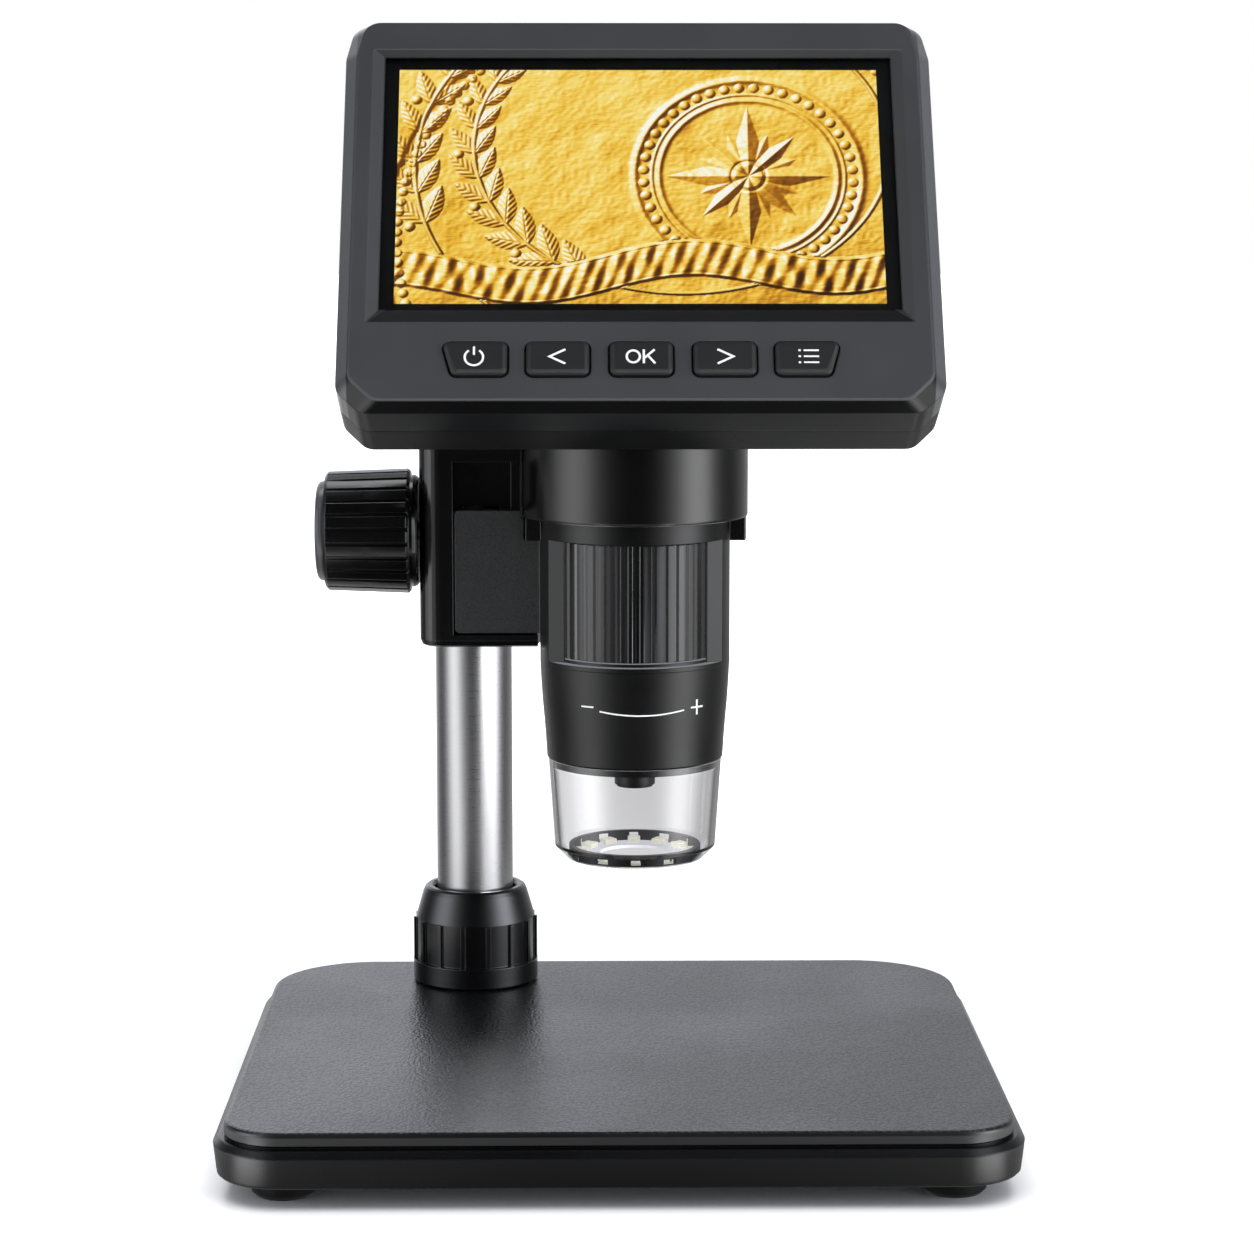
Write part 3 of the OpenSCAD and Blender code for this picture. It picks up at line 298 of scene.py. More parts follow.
def head_shell():
    """Satin grey front; the sill under the window and the head's outer sides are darker and glossier. Its flanks are
    lighter, which is painted light from the side soft boxes."""
    t = Material("head_grey_plastic")
    x, y, z = t.head_local()
    wide = t.math("ABSOLUTE", x)
    high = t.math("ABSOLUTE", t.minus(z, WINDOW_MID))
    fine = t.noise(3000.0, 3.0, 0.6)
    slow = t.drift()
    front = t.greys(slow, 0.03, 0.035)
    ridge = t.greys(slow, 0.0035, 0.0045)
    skirt = t.greys(slow, 0.008, 0.01)
    flank_painted_light = t.greys(slow, 0.05, 0.056)

    # Zones: each is 1 inside and 0 outside. The sloping ones begin a little behind the flat front
    window = t.times(t.math("LESS_THAN", wide, WINDOW_HALF[0]), t.math("LESS_THAN", high, WINDOW_HALF[1]))
    below = t.math("LESS_THAN", t.add(wide, z), WINDOW_HALF[0] - WINDOW_HALF[1] + WINDOW_MID)
    bevel = t.times(window, t.span(y, 0.05, 0.15, 0.0, 1.0))
    sill = t.times(bevel, below)
    outer = t.times(t.minus(1.0, window), t.span(y, 0.3, 0.42, 0.0, 1.0))
    low = t.times(outer, t.span(y, RIDGE - 0.1, RIDGE, 0.0, 1.0))
    side = t.times(outer, t.span(wide, FLANK_X, FLANK_X + 0.4, 0.0, 1.0))
    seam = t.span(y, PARTING - 0.3, PARTING - 0.2, 0.0, 0.8)
    glossy = t.math("MAXIMUM", outer, sill)

    colour = t.mix(t.math("MAXIMUM", glossy, t.times(bevel, 0.4)), front, ridge)
    # Painted light: the flanks get a lighter colour where the side soft boxes would light them
    colour = t.mix(side, t.mix(low, colour, skirt), flank_painted_light)
    colour = t.mix(seam, colour, ridge)
    gloss = t.minus(t.minus(t.rubbed(slow, 0.5), t.times(glossy, 0.28)), t.times(side, 0.08))
    shine = t.add(t.minus(0.5, t.times(low, 0.3)), t.times(side, 0.6))
    return t.set(Base_Color=colour, Roughness=gloss, Specular_IOR_Level=shine,
                 Normal=t.bump(fine, 0.000012, 0.6, t.edges(0.0004)), IOR=1.48)


def ribbed_grip():
    """Polished wheel: upright streaks brighten some ribs' colour as painted highlights, and vary their gloss."""
    t = Material("grip_black_plastic")
    marks = t.noise(1.0, 3.0, 0.7, vector=t.scaled(520.0, 520.0, 6.0))
    fine = t.noise(3000.0, 3.0, 0.6)
    # Painted highlight: the streaks lift the ribs' colour as glints
    colour = t.ramp(marks, (0.38, grey(0.002, COOL)), (0.5, grey(0.01, COOL)), (0.64, grey(0.05, COOL)))
    gloss = t.span(marks, 0.35, 0.65, 0.2, 0.36)
    return t.set(Base_Color=colour, Roughness=gloss, Normal=t.bump(fine, 0.00001, 0.6, t.edges(0.00015)), IOR=1.6)


def clear(name, tint, ior, streak, rough=0.0, rim=None):
    """Clear moulding or glass; rim is a darker tint painted where its walls are seen edge on, a painted shade that
    stands in for the dark surroundings seen through them.
    """
    t = Material(name)
    haze = t.noise(70.0, 3.0, 0.5)
    gloss = t.span(haze, 0.35, 0.7, rough, rough + streak)
    if rim:
        facing = t.node("ShaderNodeLayerWeight")
        facing.inputs["Blend"].default_value = 0.5
        edge_on = t.add(facing.outputs["Facing"], t.times(haze, 0.02))
        # Painted shade: the tint turns to rim where the walls are seen edge on
        tint = t.ramp(edge_on, (0.0, tint), (0.7, tint), (0.88, rim))
    return t.set(Base_Color=tint, Roughness=gloss, Transmission_Weight=1.0, IOR=ior)


def board():
    t = Material("green_board")
    tracks = t.cells(700.0, "F1", 0.3)
    slow = t.noise(150.0, 3.0, 0.5)
    colour = t.ramp(t.add(t.times(tracks, 0.7), t.times(slow, 0.3)),
                    (0.3, (0.012, 0.07, 0.028)), (0.55, (0.03, 0.16, 0.06)))
    return t.set(Base_Color=colour, Roughness=0.35, Normal=t.bump(tracks, 0.00002, 0.5), Coat_Weight=0.3)


def foil():
    t = Material("battery_foil")
    wrinkle = t.noise(160.0, 5.0, 0.7, 0.8)
    colour = t.ramp(wrinkle, (0.3, (0.42, 0.43, 0.45)), (0.7, (0.6, 0.61, 0.63)))
    return t.set(Base_Color=colour, Metallic=0.85, Roughness=t.span(wrinkle, 0.3, 0.7, 0.28, 0.45),
                 Normal=t.bump(wrinkle, 0.0003, 0.6))


def lamp():
    t = Material("lamp_phosphor")
    grain = t.noise(2500.0, 3.0, 0.6)
    colour = t.ramp(grain, (0.3, (0.9, 0.86, 0.66)), (0.7, (1.0, 0.98, 0.86)))
    return t.set(Base_Color=colour, Roughness=0.5, Emission_Color=colour, Emission_Strength=0.35,
                 Normal=t.bump(grain, 0.00003))


def ink(name, level):
    t = Material(name)
    dots = t.noise(2800.0, 3.0, 0.6)
    return t.set(Base_Color=t.greys(dots, level * 0.9, level * 1.05, NEUTRAL), Roughness=0.45,
                 Normal=t.bump(dots, 0.00001))


# Each material with the CAD nodes that wear it
PAINT = (
    (moulded("base_black_plastic", 0.003, 0.28, edge=0.0006), ("base_body", "bottom_cover")),
    (moulded("satin_black_plastic", 0.0028, 0.22, ior=1.6),
     ("pole_socket", "collar_nut", "pole_cap", "focus_housing", "holder_ring", "neck")),
    (moulded("barrel_black_plastic", 0.003, 0.33), ("barrel_shell", "lower_barrel")),
    (moulded("gloss_black_plastic", 0.002, 0.2, grain=1800.0, depth=0.00001, ior=1.55), ("focus_knob",)),
    (moulded("inner_black_plastic", 0.004, 0.5), ("lens_tube", "led_frame", "image_sensor")),
    # The rear case is lighter than the other black parts: painted light standing in for light that reaches its
    # underside
    (moulded("case_black_plastic", 0.009, 0.32, ior=1.36), ("rear_case",)),
    (moulded("display_frame_black", 0.006, 0.35, grain=1500.0), ("lcd_panel",)),
    (moulded("key_grey_plastic", 0.009, 0.48, grain=3400.0, depth=0.00001, edge=0.00025, ior=1.42),
     tuple("key_" + key for key in KEYS)),
    (moulded("cap_grey_plastic", 0.07, 0.28, edge=0.00015, ior=1.7), ("knob_cap",)),
    (moulded("foot_rubber", 0.004, 0.5, grain=1500.0, depth=0.00004, ior=1.3), ("rubber_feet",)),
    (head_shell(), ("front_bezel",)),
    (ribbed_grip(), ("focus_wheel",)),
    (grained_coat("stage_grained_coat", 0.006, 0.3, cell=1800.0, depth=0.00008, worn=(0.3, 0.62), edge=0.0002,
                  top=0.0141), ("stage_plate",)),
    (grained_coat("panel_grained_coat", 0.01, 0.5, cell=3800.0, depth=0.000012, worn=(0.45, 0.55)), ("carriage",)),
    (metal("brushed_pole_steel", (0.42, 0.42, 0.43), 0.28, (260.0, 260.0, 6000.0), depth=0.00000004, vary=0.02,
           spread=0.01), ("pole",)),
    (metal("screw_steel", (0.55, 0.55, 0.56), 0.3, (2500.0, 2500.0, 2500.0)),
     ("base_screws", "socket_screws", "clamp_screws", "knob_shaft", "knob_screw", "rack", "holder_screws",
      "neck_screws", "case_screws", "usb_port", "card_slot", "tact_switches")),
    (metal("ballast_steel", (0.32, 0.32, 0.33), 0.45, (300.0, 3000.0, 3000.0)), ("ballast_plate",)),
    (metal("brass", (0.72, 0.52, 0.22), 0.3, (2500.0, 2500.0, 2500.0)), ("shaft_bushing", "pinion")),
    (clear("clear_acrylic", (0.985, 0.985, 1.0), 1.47, 0.02, rough=0.01, rim=(0.1, 0.1, 0.12)), ("clear_cover",)),
    (clear("screen_glass", (0.97, 0.97, 0.97), 1.45, 0.015), ("cover_glass",)),
    (clear("lens_glass", (0.9, 0.95, 1.0), 1.52, 0.005), ("objective_lens", "rear_lens")),
    (board(), ("sensor_board", "main_board")),
    (foil(), ("battery",)),
    (lamp(), ("leds",)),
)
for material, names in PAINT:
    for name in names:
        slots = NODES[name].data.materials
        for i in range(len(slots)):
            slots[i] = material

INK = ink("white_ink", 0.82)


# ---------------------------------------------------------------- shading across the CAD facets

def smoothing_group():
    """Joins the facets' shared corners, and shades across the upright edges between the small ones, which round
    the corners. An edge stays sharp where it is steep, lies flat, or borders a large face."""
    group = bpy.data.node_groups.new("facet_smoothing", "GeometryNodeTree")
    for in_out in ("INPUT", "OUTPUT"):
        group.interface.new_socket("Mesh", in_out=in_out, socket_type="NodeSocketGeometry")
    t = Tree(group)

    def compare(operation, value, limit):
        n = t.node("FunctionNodeCompare", data_type="FLOAT", operation=operation)
        t.put(n.inputs[0], value)
        t.put(n.inputs[1], limit)
        return n.outputs[0]

    def either(a, b):
        n = t.node("FunctionNodeBooleanMath", operation="OR")
        t.link(a, n.inputs[0])
        t.link(b, n.inputs[1])
        return n.outputs[0]

    ends = t.node("GeometryNodeInputMeshEdgeVertices")
    along = t.node("ShaderNodeVectorMath", operation="SUBTRACT")
    t.link(ends.outputs["Position 1"], along.inputs[0])
    t.link(ends.outputs["Position 2"], along.inputs[1])
    unit = t.node("ShaderNodeVectorMath", operation="NORMALIZE")
    t.link(along.outputs[0], unit.inputs[0])
    rise = t.math("ABSOLUTE", t.axes(unit.outputs[0])[2])

    steep = compare("GREATER_THAN", t.node("GeometryNodeInputMeshEdgeAngle").outputs[0], math.radians(34))
    lying = compare("LESS_THAN", rise, 0.25)
    large = compare("GREATER_THAN", t.node("GeometryNodeInputMeshFaceArea").outputs[0], 6e-5)

    join = t.node("GeometryNodeMergeByDistance")
    join.inputs["Distance"].default_value = 1e-6
    t.link(t.node("NodeGroupInput").outputs[0], join.inputs[0])
    shade = t.node("GeometryNodeSetMeshNormal", mode="SHARPNESS")
    shade.inputs["Remove Custom"].default_value = True
    t.link(join.outputs[0], shade.inputs[0])
    t.link(either(either(steep, lying), large), shade.inputs["Edge Sharpness"])
    t.link(shade.outputs[0], t.node("NodeGroupOutput").inputs[0])
    return group


SMOOTHING = smoothing_group()
for name in ("base_body", "stage_plate"):
    NODES[name].modifiers.new("facet_smoothing", "NODES").node_group = SMOOTHING


# ---------------------------------------------------------------- printed marks

def add_object(name, data):
    ob = bpy.data.objects.new(name, data)
    bpy.context.scene.collection.objects.link(ob)
    return ob


def stroke_outline(points, width, closed=False):
    """Left and right edge of a line of even width drawn through points in the plane."""
    n = len(points)
    left, right = [], []
    for i, p in enumerate(points):
        a = points[(i - 1) % n] if closed or i else points[i]
        b = points[(i + 1) % n] if closed or i < n - 1 else points[i]
        d0 = Vector((p[0] - a[0], p[1] - a[1]))
        d1 = Vector((b[0] - p[0], b[1] - p[1]))
        d0 = d0.normalized() if d0.length > 1e-9 else d1.normalized()
        d1 = d1.normalized() if d1.length > 1e-9 else d0
        t = (d0 + d1).normalized()
        across = Vector((-t.y, t.x))
        reach = width / 2 / max(0.35, across.dot(Vector((-d0.y, d0.x))))
        left.append((p[0] + across.x * reach, p[1] + across.y * reach))
        right.append((p[0] - across.x * reach, p[1] - across.y * reach))
    return left, right


def printed(name, strokes, place, thick, body):
    """Raised ink: each stroke is a list of points, a width and whether it closes. place(u, v, h) gives the 3-D
    point. Each stroke is a little higher than the one before, so that crossing ones don't share a face."""
    verts, faces = [], []
    for k, (points, width, closed) in enumerate(strokes):
        left, right = stroke_outline(points, width, closed)
        n = len(points)
        base, top = len(verts), 2 * n
        for height, inset in ((0.0, 0.0), (thick * (1 + 0.06 * k), 0.04)):
            for (lu, lv), (ru, rv) in zip(left, right):
                du, dv = (ru - lu) * inset, (rv - lv) * inset
                verts.append(place(lu + du, lv + dv, height))
                verts.append(place(ru - du, rv - dv, height))
        for i in range(n if closed else n - 1):
            j = (i + 1) % n
            a, b, c, d = base + 2 * i, base + 2 * i + 1, base + 2 * j + 1, base + 2 * j
            faces += [(a + top, b + top, c + top, d + top), (a, d, c, b),
                      (a, a + top, d + top, d), (b, c, c + top, b + top)]
        if not closed:
            a, b = base, base + 1
            faces.append((a, b, b + top, a + top))
            a, b = base + 2 * n - 2, base + 2 * n - 1
            faces.append((b, a, a + top, b + top))
    me = bpy.data.meshes.new(name)
    me.from_pydata([tuple(c * MM for c in v) for v in verts], [], faces)
    me.materials.append(INK)
    bm = bmesh.new()
    bm.from_mesh(me)
    bmesh.ops.recalc_face_normals(bm, faces=bm.faces)
    bm.to_mesh(me)
    bm.free()
    ob = add_object(name, me)
    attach(ob, body)
    return ob


def line(x0, y0, x1, y1, n=2):
    return [(x0 + (x1 - x0) * i / (n - 1), y0 + (y1 - y0) * i / (n - 1)) for i in range(n)]


def arc(cx, cy, rx, ry, a0, a1, n):
    return [(cx + rx * math.cos(math.radians(a0 + (a1 - a0) * i / n)),
             cy + ry * math.sin(math.radians(a0 + (a1 - a0) * i / n))) for i in range(n + 1)]


def on_key(key_x):
    def place(u, v, h):
        return tuple(HEAD @ Vector((key_x + u, KEY_FACE - h, KEY_Z + v)))
    return place


# The icons' strokes, in millimetres from the middle of each key
STROKE, BOLD = 0.42, 0.441
ICONS = {
    "power": [(arc(0, -0.15, 1.75, 1.75, 125, 415, 30), STROKE, False), (line(0, 0.35, 0, 2.15), STROKE, False)],
    "left": [([(1.45, 1.55), (-1.55, 0.0), (1.45, -1.55)], BOLD, False)],
    "ok": [(arc(-1.55, 0, 1.25, 1.3, 0, 360, 36)[:-1], BOLD, True), (line(0.45, 1.48, 0.45, -1.48), BOLD, False),
           (line(2.5, 1.5, 0.6, -0.3), BOLD, False), (line(1.15, 0.3, 2.6, -1.5), BOLD, False)],
    "right": [([(-1.45, 1.55), (1.55, 0.0), (-1.45, -1.55)], BOLD, False)],
    "menu": [(line(x0, z, x1, z), width, False) for x0, x1, width in ((-0.95, 1.95, 0.357), (-1.95, -1.5, 0.399))
             for z in (1.3, 0, -1.3)],
}
prints = [printed("icon_" + key, ICONS[key], on_key(key_x), 0.03, key + "_key")
          for key, key_x in zip(KEYS, KEY_XS)]

# The lower barrel's radius from its foot to its top, and how far it has widened at even steps of height
LOWER_Z = (65.4, 85.0)
LOWER_R = (18.0, 19.35)
FLARE = (0.0, 0.185, 0.407, 0.667, 0.852, 1.0)


def on_barrel(u, v, h):
    flare = np.interp(v, np.linspace(*LOWER_Z, len(FLARE)), FLARE)
    r = LOWER_R[0] + (LOWER_R[1] - LOWER_R[0]) * float(flare) + h
    return (BARREL[0] + u, BARREL[1] - math.sqrt(r * r - u * u), v)


# The focus marks, by distance from the barrel's axis and height: a minus, a sagging line and a plus
MARKS = [
    (line(-10.95, 77.9, -8.55, 77.9, 5), 0.34, False),
    ([(x, 76.42 + 0.0105 * (x - 0.9) ** 2) for x, _ in line(-7.35, 0.0, 9.6, 0.0, 41)], 0.3, False),
    (line(11.0, 77.55, 13.4, 77.55, 5), 0.37, False),
    (line(12.2, 76.0, 12.2, 79.1, 5), 0.37, False),
]
prints.append(printed("focus_marks", MARKS, on_barrel, 0.02, "microscope"))


# ---------------------------------------------------------------- picture on the screen

# In millimetres from the picture's middle: the star, the rim's centre, and each branch's radius, centre and the
# angles between which its leaves stand
STAR = (21.5, 2.0)
RIM = (8.0, -12.0)
BRANCHES = ((41.0, 8.5, 9.0, 242, 124), (56.5, 12.5, 4.0, 196, 92))
BRANCH_SQUASH = 0.82
LEAVES = 13


def dome(distance, radius):
    return np.sqrt(np.clip(1 - (distance / radius) ** 2, 0, 1))


def line_of(distance, width):
    return np.exp(-(distance / width) ** 2)


def turned(x, y, cx, cy, angle):
    """Distance from a centre along a direction, and across it."""
    c, s = math.cos(angle), math.sin(angle)
    return (x - cx) * c + (y - cy) * s, -(x - cx) * s + (y - cy) * c


def to_bead(x, y, centre, radius, count):
    """Distance to the nearest of the beads that stand on a circle."""
    turn = np.arctan2(y - centre[1], x - centre[0]) / (2 * math.pi) * count % 1 - 0.5
    return np.hypot(turn * 2 * math.pi * radius / count, np.hypot(x - centre[0], y - centre[1]) - radius)


def with_star(x, y, h):
    """Star of eight long and eight short points, each a folded ridge, with a boss in the middle."""
    shoulder = 3.0
    for length, width, turn, height in ((10.5, 3.3, math.pi / 8, 0.8), (16.4, 3.7, 0.0, 1.25)):
        best = np.zeros_like(x)
        for k in range(8):
            shrink = 0.8 if turn == 0.0 and k % 2 else 1.0
            ln, wd = length * shrink, width * shrink
            u, v = turned(x, y, *STAR, turn + k * math.pi / 4)
            half = np.where(u < shoulder, wd * np.clip(u, 0, None) / shoulder, wd * (ln - u) / (ln - shoulder))
            ridge = np.clip(1 - np.abs(v) / np.maximum(half, 1e-3), 0, 1) * np.clip(half, 0, None) / wd
            best = np.maximum(best, np.where(u > 0, ridge, 0))
        h = np.maximum(h, height * best * 1.5)
    r = np.hypot(x - STAR[0], y - STAR[1])
    return h + 1.1 * dome(r, 2.9) - 0.35 * line_of(r - 3.4, 0.35)


def with_leaf(x, y, h, cx, cy, angle, length):
    width = length * 0.235
    u, v = turned(x, y, cx, cy, angle)
    f = u / length
    half = width * np.sin(np.clip(f, 0, 1) * math.pi) ** 0.75 * (1.15 - 0.4 * f)
    s = np.clip(1 - np.abs(v) / np.maximum(half, 1e-3), 0, 1)
    body = 0.95 * np.sqrt(s) * (0.35 + 0.65 * np.sqrt(s))
    body -= 0.28 * line_of(v, 0.16)
    body += 0.07 * np.sin((u * 2.2 - np.abs(v) * 2.6) * 2.1)
    return np.where((f > 0) & (f < 1) & (s > 0), np.maximum(h, np.clip(body, 0.02, None)), h)


def with_branch(x, y, h, radius, mid_x, mid_y, start, end):
    """Pairs of leaves along an arc, with a berry at every other pair."""
    for k in range(LEAVES):
        f = k / (LEAVES - 1)
        angle = math.radians(start + (end - start) * f)
        cx = mid_x + radius * math.cos(angle)
        cy = mid_y + radius * BRANCH_SQUASH * math.sin(angle)
        for side in (1, -1):
            h = with_leaf(x, y, h, cx, cy, angle - math.pi / 2 + side * 0.62, 9.2 - 3.2 * f)
        if k % 2 == 0:
            berry = np.hypot(x - cx - 3.1 * math.cos(angle), y - cy - 3.1 * math.sin(angle))
            h = np.maximum(h, 1.1 * dome(berry, 1.05))
    return h


def with_ribbon(x, y, h):
    """Ribbon with folds and hems along the bottom."""
    v = y - (-19.8 + 2.6 * np.sin(x / 9.5 + 0.6) + 0.035 * (x + 8))
    fold = 0.9 + 0.45 * np.sin(x * 0.95 + 1.6 * np.sin(x * 0.19) + v * 0.35) + 0.2 * np.sin(x * 2.1 - v * 0.8)
    band = np.clip(1 - (np.abs(v) / 4.3) ** 8, 0, 1)
    ribbon = (fold + 0.35 * line_of(np.abs(v) - 3.7, 0.22)) * band
    return np.where(band > 0.05, np.maximum(ribbon, h * 0.25), h)


def relief(x, y):
    """Relief of an invented medal: a faceted compass star in rings, two leafy branches, a beaded rim, a ribbon."""
    h = np.zeros_like(x)
    r = np.hypot(x - STAR[0], y - STAR[1])
    for radius, width, height in ((17.6, 0.55, 0.5), (19.0, 0.28, 0.3), (22.4, 0.75, 0.65)):
        h += height * line_of(r - radius, width)
    h += 0.75 * dome(to_bead(x, y, STAR, 20.6, 44), 1.02)
    h = with_star(x, y, h)
    for branch in BRANCHES:
        h = with_branch(x, y, h, *branch)
    for radius, cx, cy, _, _ in BRANCHES:
        h = np.maximum(h, 0.85 * dome(np.hypot(x - cx, (y - cy) / BRANCH_SQUASH) - radius, 0.5))
    h = with_ribbon(x, y, h)
    h += 0.8 / (1 + np.exp(-(np.hypot(x - RIM[0], y - RIM[1]) - 57.5) / 0.22))
    return h + 0.7 * dome(to_bead(x, y, RIM, 55.2, 150), 0.95)


def value_noise(x, y, scale, seed):
    """Smooth noise from a seeded lattice."""
    cells = 160
    g = np.random.default_rng(seed).random((cells, cells))
    u, v = (x + 60) / scale, (y + 40) / scale
    iu, iv = np.floor(u).astype(int), np.floor(v).astype(int)
    fu, fv = u - iu, v - iv
    fu, fv = fu * fu * (3 - 2 * fu), fv * fv * (3 - 2 * fv)
    iu, iv = iu % (cells - 1), iv % (cells - 1)
    return ((g[iv, iu] * (1 - fu) + g[iv, iu + 1] * fu) * (1 - fv)
            + (g[iv + 1, iu] * (1 - fu) + g[iv + 1, iu + 1] * fu) * fv)


def unit(vectors):
    return vectors / np.linalg.norm(vectors, axis=-1, keepdims=True)


# The picture's tones from shadow to glint: where each stands, and its colour as shown on a screen
TONE_STOPS = (0.0, 0.12, 0.3, 0.48, 0.62, 0.76, 0.88, 1.0)
TONES = ((26, 12, 2), (88, 46, 4), (176, 108, 14), (240, 186, 52), (252, 218, 104), (255, 232, 142),
         (255, 244, 190), (255, 254, 240))


def picture_colours(x, y):
    """Linear colours of the lit relief."""
    h = relief(x, y)
    h = h + 0.10 * value_noise(x, y, 0.8, 3) + 0.32 * value_noise(x, y, 3.1, 5) + 0.5 * value_noise(x, y, 9.0, 8)
    h = h + 0.035 * value_noise(x + 0.3 * y, y * 6, 1.1, 11)
    dy, dx = np.gradient(h, y[1, 0] - y[0, 0], x[0, 1] - x[0, 0])
    normal = unit(np.stack([-dx, -dy, np.ones_like(dx)], -1))
    light = unit(np.array([-0.62, 0.52, 0.59]))
    diffuse = np.clip((normal * light).sum(-1), 0, 1)
    gleam = np.clip((normal * unit(light + np.array([0, 0, 1.0]))).sum(-1), 0, 1)
    mottle = value_noise(x, y, 13.0, 21) - 0.5
    tone = 0.12 + 0.80 * diffuse ** 1.25 + 0.34 * gleam ** 22 + 0.10 * mottle + 0.0016 * (y - x * 0.3)
    table = np.array(TONES) / 255.0
    rgb = np.stack([np.interp(np.clip(tone, 0, 1), TONE_STOPS, table[:, c]) for c in range(3)], -1)
    return np.where(rgb <= 0.04045, rgb / 12.92, ((rgb + 0.055) / 1.055) ** 2.4)


def picture():
    nx, ny = 641, 364
    x = np.linspace(-LCD[0] / 2, LCD[0] / 2, nx)[None, :].repeat(ny, 0)
    y = np.linspace(-LCD[1] / 2, LCD[1] / 2, ny)[:, None].repeat(nx, 1)
    colours = picture_colours(x, y)
    points = np.stack([x, np.full_like(x, LCD_DEPTH), y, np.ones_like(x)], -1).reshape(-1, 4) @ np.array(HEAD).T
    idx = np.arange(nx * ny).reshape(ny, nx)
    quads = np.stack([idx[:-1, :-1], idx[:-1, 1:], idx[1:, 1:], idx[1:, :-1]], -1).reshape(-1, 4)
    me = bpy.data.meshes.new("screen_picture")
    me.vertices.add(nx * ny)
    me.vertices.foreach_set("co", (points[:, :3] * MM).astype(np.float32).ravel())
    me.loops.add(quads.size)
    me.loops.foreach_set("vertex_index", quads.ravel().astype(np.int32))
    me.polygons.add(len(quads))
    me.polygons.foreach_set("loop_start", np.arange(0, quads.size, 4, dtype=np.int32))
    me.update(calc_edges=True)
    me.validate()
    rgba = np.concatenate([colours.reshape(-1, 3), np.ones((nx * ny, 1))], 1)
    me.color_attributes.new("tone", "FLOAT_COLOR", "POINT").data.foreach_set("color", rgba.astype(np.float32).ravel())
    t = Material("screen_light")
    shown = t.node("ShaderNodeAttribute", attribute_name="tone").outputs["Color"]
    me.materials.append(t.set(Base_Color=(0.01, 0.01, 0.01), Roughness=0.4, Emission_Color=shown,
                              Emission_Strength=1.0))
    ob = add_object("screen_picture", me)
    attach(ob, "microscope")


picture()


# ---------------------------------------------------------------- studio

# How bright the studio is round the object, by degrees from the front (-Y) to the right: dark behind the camera,
# a tall soft box on each side, a pale wall at the back
STUDIO = [(-180, 1.0), (-165, 1.5), (-150, 1.1), (-130, 0.3), (-108, 0.14), (-95, 0.6), (-80, 2.3), (-68, 3.2),
          (-55, 2.6), (-42, 1.0), (-28, 0.25), (-12, 0.05), (8, 0.04), (20, 0.12), (32, 0.6), (44, 2.0), (56, 4.6),
          (66, 5.5), (76, 4.4), (88, 1.2), (100, 0.3), (115, 0.2), (130, 0.4), (150, 0.6), (168, 0.75), (180, 1.0)]
STUDIO_TOP = 6.0
# The same by height, from straight down (0) to straight up (1)
STUDIO_UP = [(0.0, 0.5), (0.49, 0.9), (0.6, 1.0), (0.72, 0.9), (0.82, 0.5), (1.0, 0.2)]
STUDIO_TINT = (0.965, 0.985, 1.06)
# What the floor sends back, by distance in metres from the middle of the base
FLOOR_NEAR = [(0.07, 0.6), (0.095, 1.1), (0.105, 1.6), (0.118, 2.9), (0.16, 2.9)]
# Brighter spots on the floor, in metres, at both front corners of the base
CORNER_SPOT = (0.083, -0.076)


def stops_ramp(t, value, stops, top, interpolation="EASE"):
    """Ramp of plain brightnesses, as a part of top."""
    return t.ramp(value, *((position, grey(v / top)) for position, v in stops), interpolation=interpolation)


def studio_ramp(t, vector):
    """Brightness of the studio in the direction of a vector, as a part of STUDIO_TOP, and the vector's height."""
    x, y, z = t.axes(vector)
    azimuth = t.math("ARCTAN2", x, t.times(y, -1.0))
    round_part = t.add(t.math("DIVIDE", azimuth, 2 * math.pi), 0.5)
    stops = [(degrees / 360 + 0.5, v) for degrees, v in STUDIO]
    return stops_ramp(t, round_part, stops, STUDIO_TOP, "LINEAR"), z


def studio_world():
    world = bpy.data.worlds.new("studio")
    bpy.context.scene.world = world
    world.use_nodes = True
    t = Tree(world.node_tree, "Generated")
    seen = t.node("ShaderNodeBackground")
    t.put(seen.inputs["Color"], (1, 1, 1))
    lit = t.node("ShaderNodeBackground")
    t.put(lit.inputs["Strength"], 2 * STUDIO_TOP)
    around, z = studio_ramp(t, t.coord)
    up = stops_ramp(t, t.times(t.add(z, 1.0), 0.5), STUDIO_UP, 2.0)
    t.link(t.product(t.product(around, up), STUDIO_TINT), lit.inputs["Color"])
    t.seen_or_lit(seen.outputs[0], lit.outputs[0], t.node("ShaderNodeOutputWorld").inputs[0])


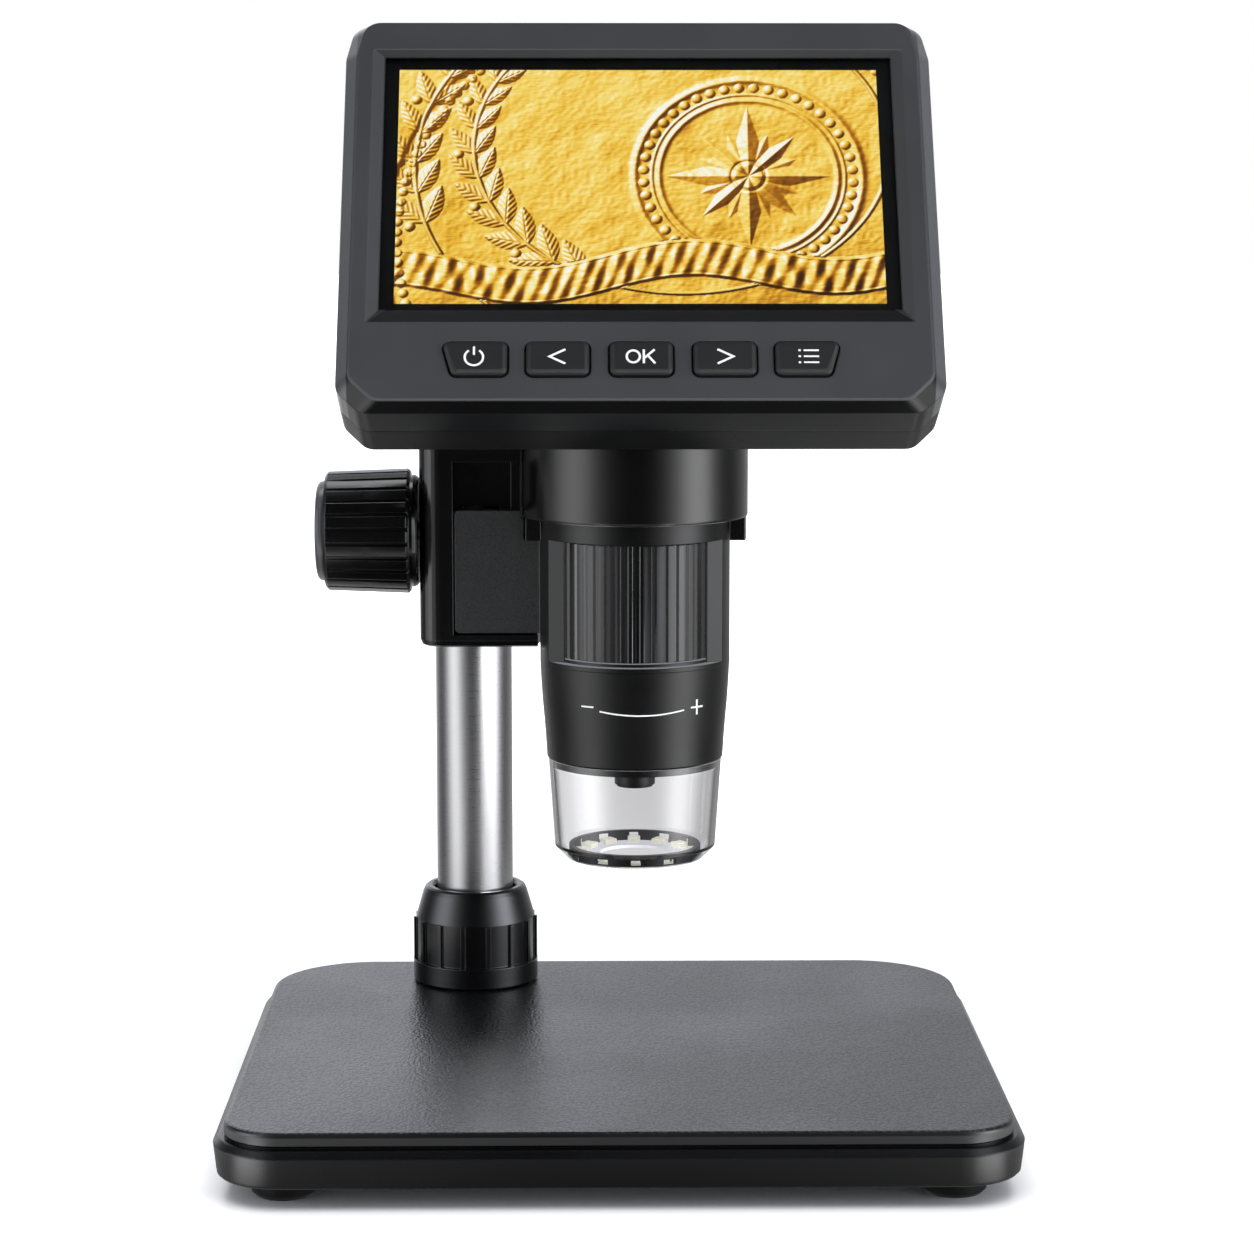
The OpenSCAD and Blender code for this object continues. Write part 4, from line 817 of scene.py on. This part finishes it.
def floor():
    n, half = 24, 6.0
    me = bpy.data.meshes.new("floor")
    verts = [((i / n * 2 - 1) * half, (j / n * 2 - 1) * half, 0.0) for j in range(n + 1) for i in range(n + 1)]
    faces = [(j * (n + 1) + i, j * (n + 1) + i + 1, (j + 1) * (n + 1) + i + 1, (j + 1) * (n + 1) + i)
             for j in range(n) for i in range(n)]
    me.from_pydata(verts, [], faces)
    t = Material("studio_floor")
    length = t.node("ShaderNodeVectorMath", operation="LENGTH")
    t.link(t.coord, length.inputs[0])
    far = length.outputs["Value"]
    colour = t.ramp(t.noise(3.0, 2.0, 0.5), (0.3, (0.93, 0.93, 0.935)), (0.7, (0.96, 0.96, 0.96)))
    t.set(Base_Color=colour, Roughness=0.25, IOR=1.3, Emission_Color=(1, 1, 1),
          Emission_Strength=t.span(far, 0.1, 0.45, 0.0, 1.0))

    x, y, _ = t.axes(t.coord)
    to_spot = t.math("SQRT", t.add(t.math("POWER", t.minus(t.math("ABSOLUTE", x), CORNER_SPOT[0]), 2.0),
                                   t.math("POWER", t.minus(y, CORNER_SPOT[1]), 2.0)))
    lift = t.add(t.span(to_spot, 0.005, 0.018, 0.7, 0.0), 0.64 / STUDIO_TOP)
    near = t.product(stops_ramp(t, far, FLOOR_NEAR, 4.0), lift)
    wide = t.times(studio_ramp(t, t.coord)[0], 0.35)
    lit = t.node("ShaderNodeEmission")
    t.link(t.mix(t.span(far, 0.12, 0.17, 0.0, 1.0), near, wide), lit.inputs["Color"])
    t.put(lit.inputs["Strength"], 2 * STUDIO_TOP)
    t.seen_or_lit(t.bsdf.outputs[0], lit.outputs[0], t.out.inputs["Surface"])
    me.materials.append(t.mat)
    ob = add_object("floor", me)
    return ob


def area(name, at, to, size, power, only):
    """Soft box that lights only the objects named."""
    data = bpy.data.lights.new(name, "AREA")
    data.shape = "RECTANGLE"
    data.size, data.size_y = size
    data.energy = power
    ob = add_object(name, data)
    ob.location = at
    ob.rotation_euler = (Vector(to) - Vector(at)).to_track_quat("-Z", "Y").to_euler()
    group = bpy.data.collections.new(name + "_receivers")
    for receiver in only:
        group.objects.link(receiver)
    ob.light_linking.receiver_collection = group


studio_world()

# The lens and barrel stay out of reflections, where they would leave a dark blot on the pole
for name in ("barrel_shell", "lower_barrel", "focus_wheel", "clear_cover", "led_frame", "leds", "lens_tube",
             "objective_lens"):
    NODES[name].visible_glossy = False

area("light_floor", (0.0, -0.3, 1.3), (0.0, -0.05, 0.0), (1.4, 1.4), 22.0, [floor()])
area("light_head", (0.0, -1.0, 0.16), (0.0, 0.0, 0.18), (0.7, 0.4), 7.8,
     [NODES["front_bezel"]] + [NODES["key_" + key] for key in KEYS] + prints)
area("light_knob", (-0.1, 0.27, 0.75), (-0.06, 0.03, 0.11), (0.5, 0.25), 1.3,
     [NODES["focus_knob"], NODES["knob_cap"]])
area("light_pole", (0.44, -0.6, 0.2), (-0.03, 0.05, 0.06), (0.34, 0.7), 9.0, [NODES["pole"]])
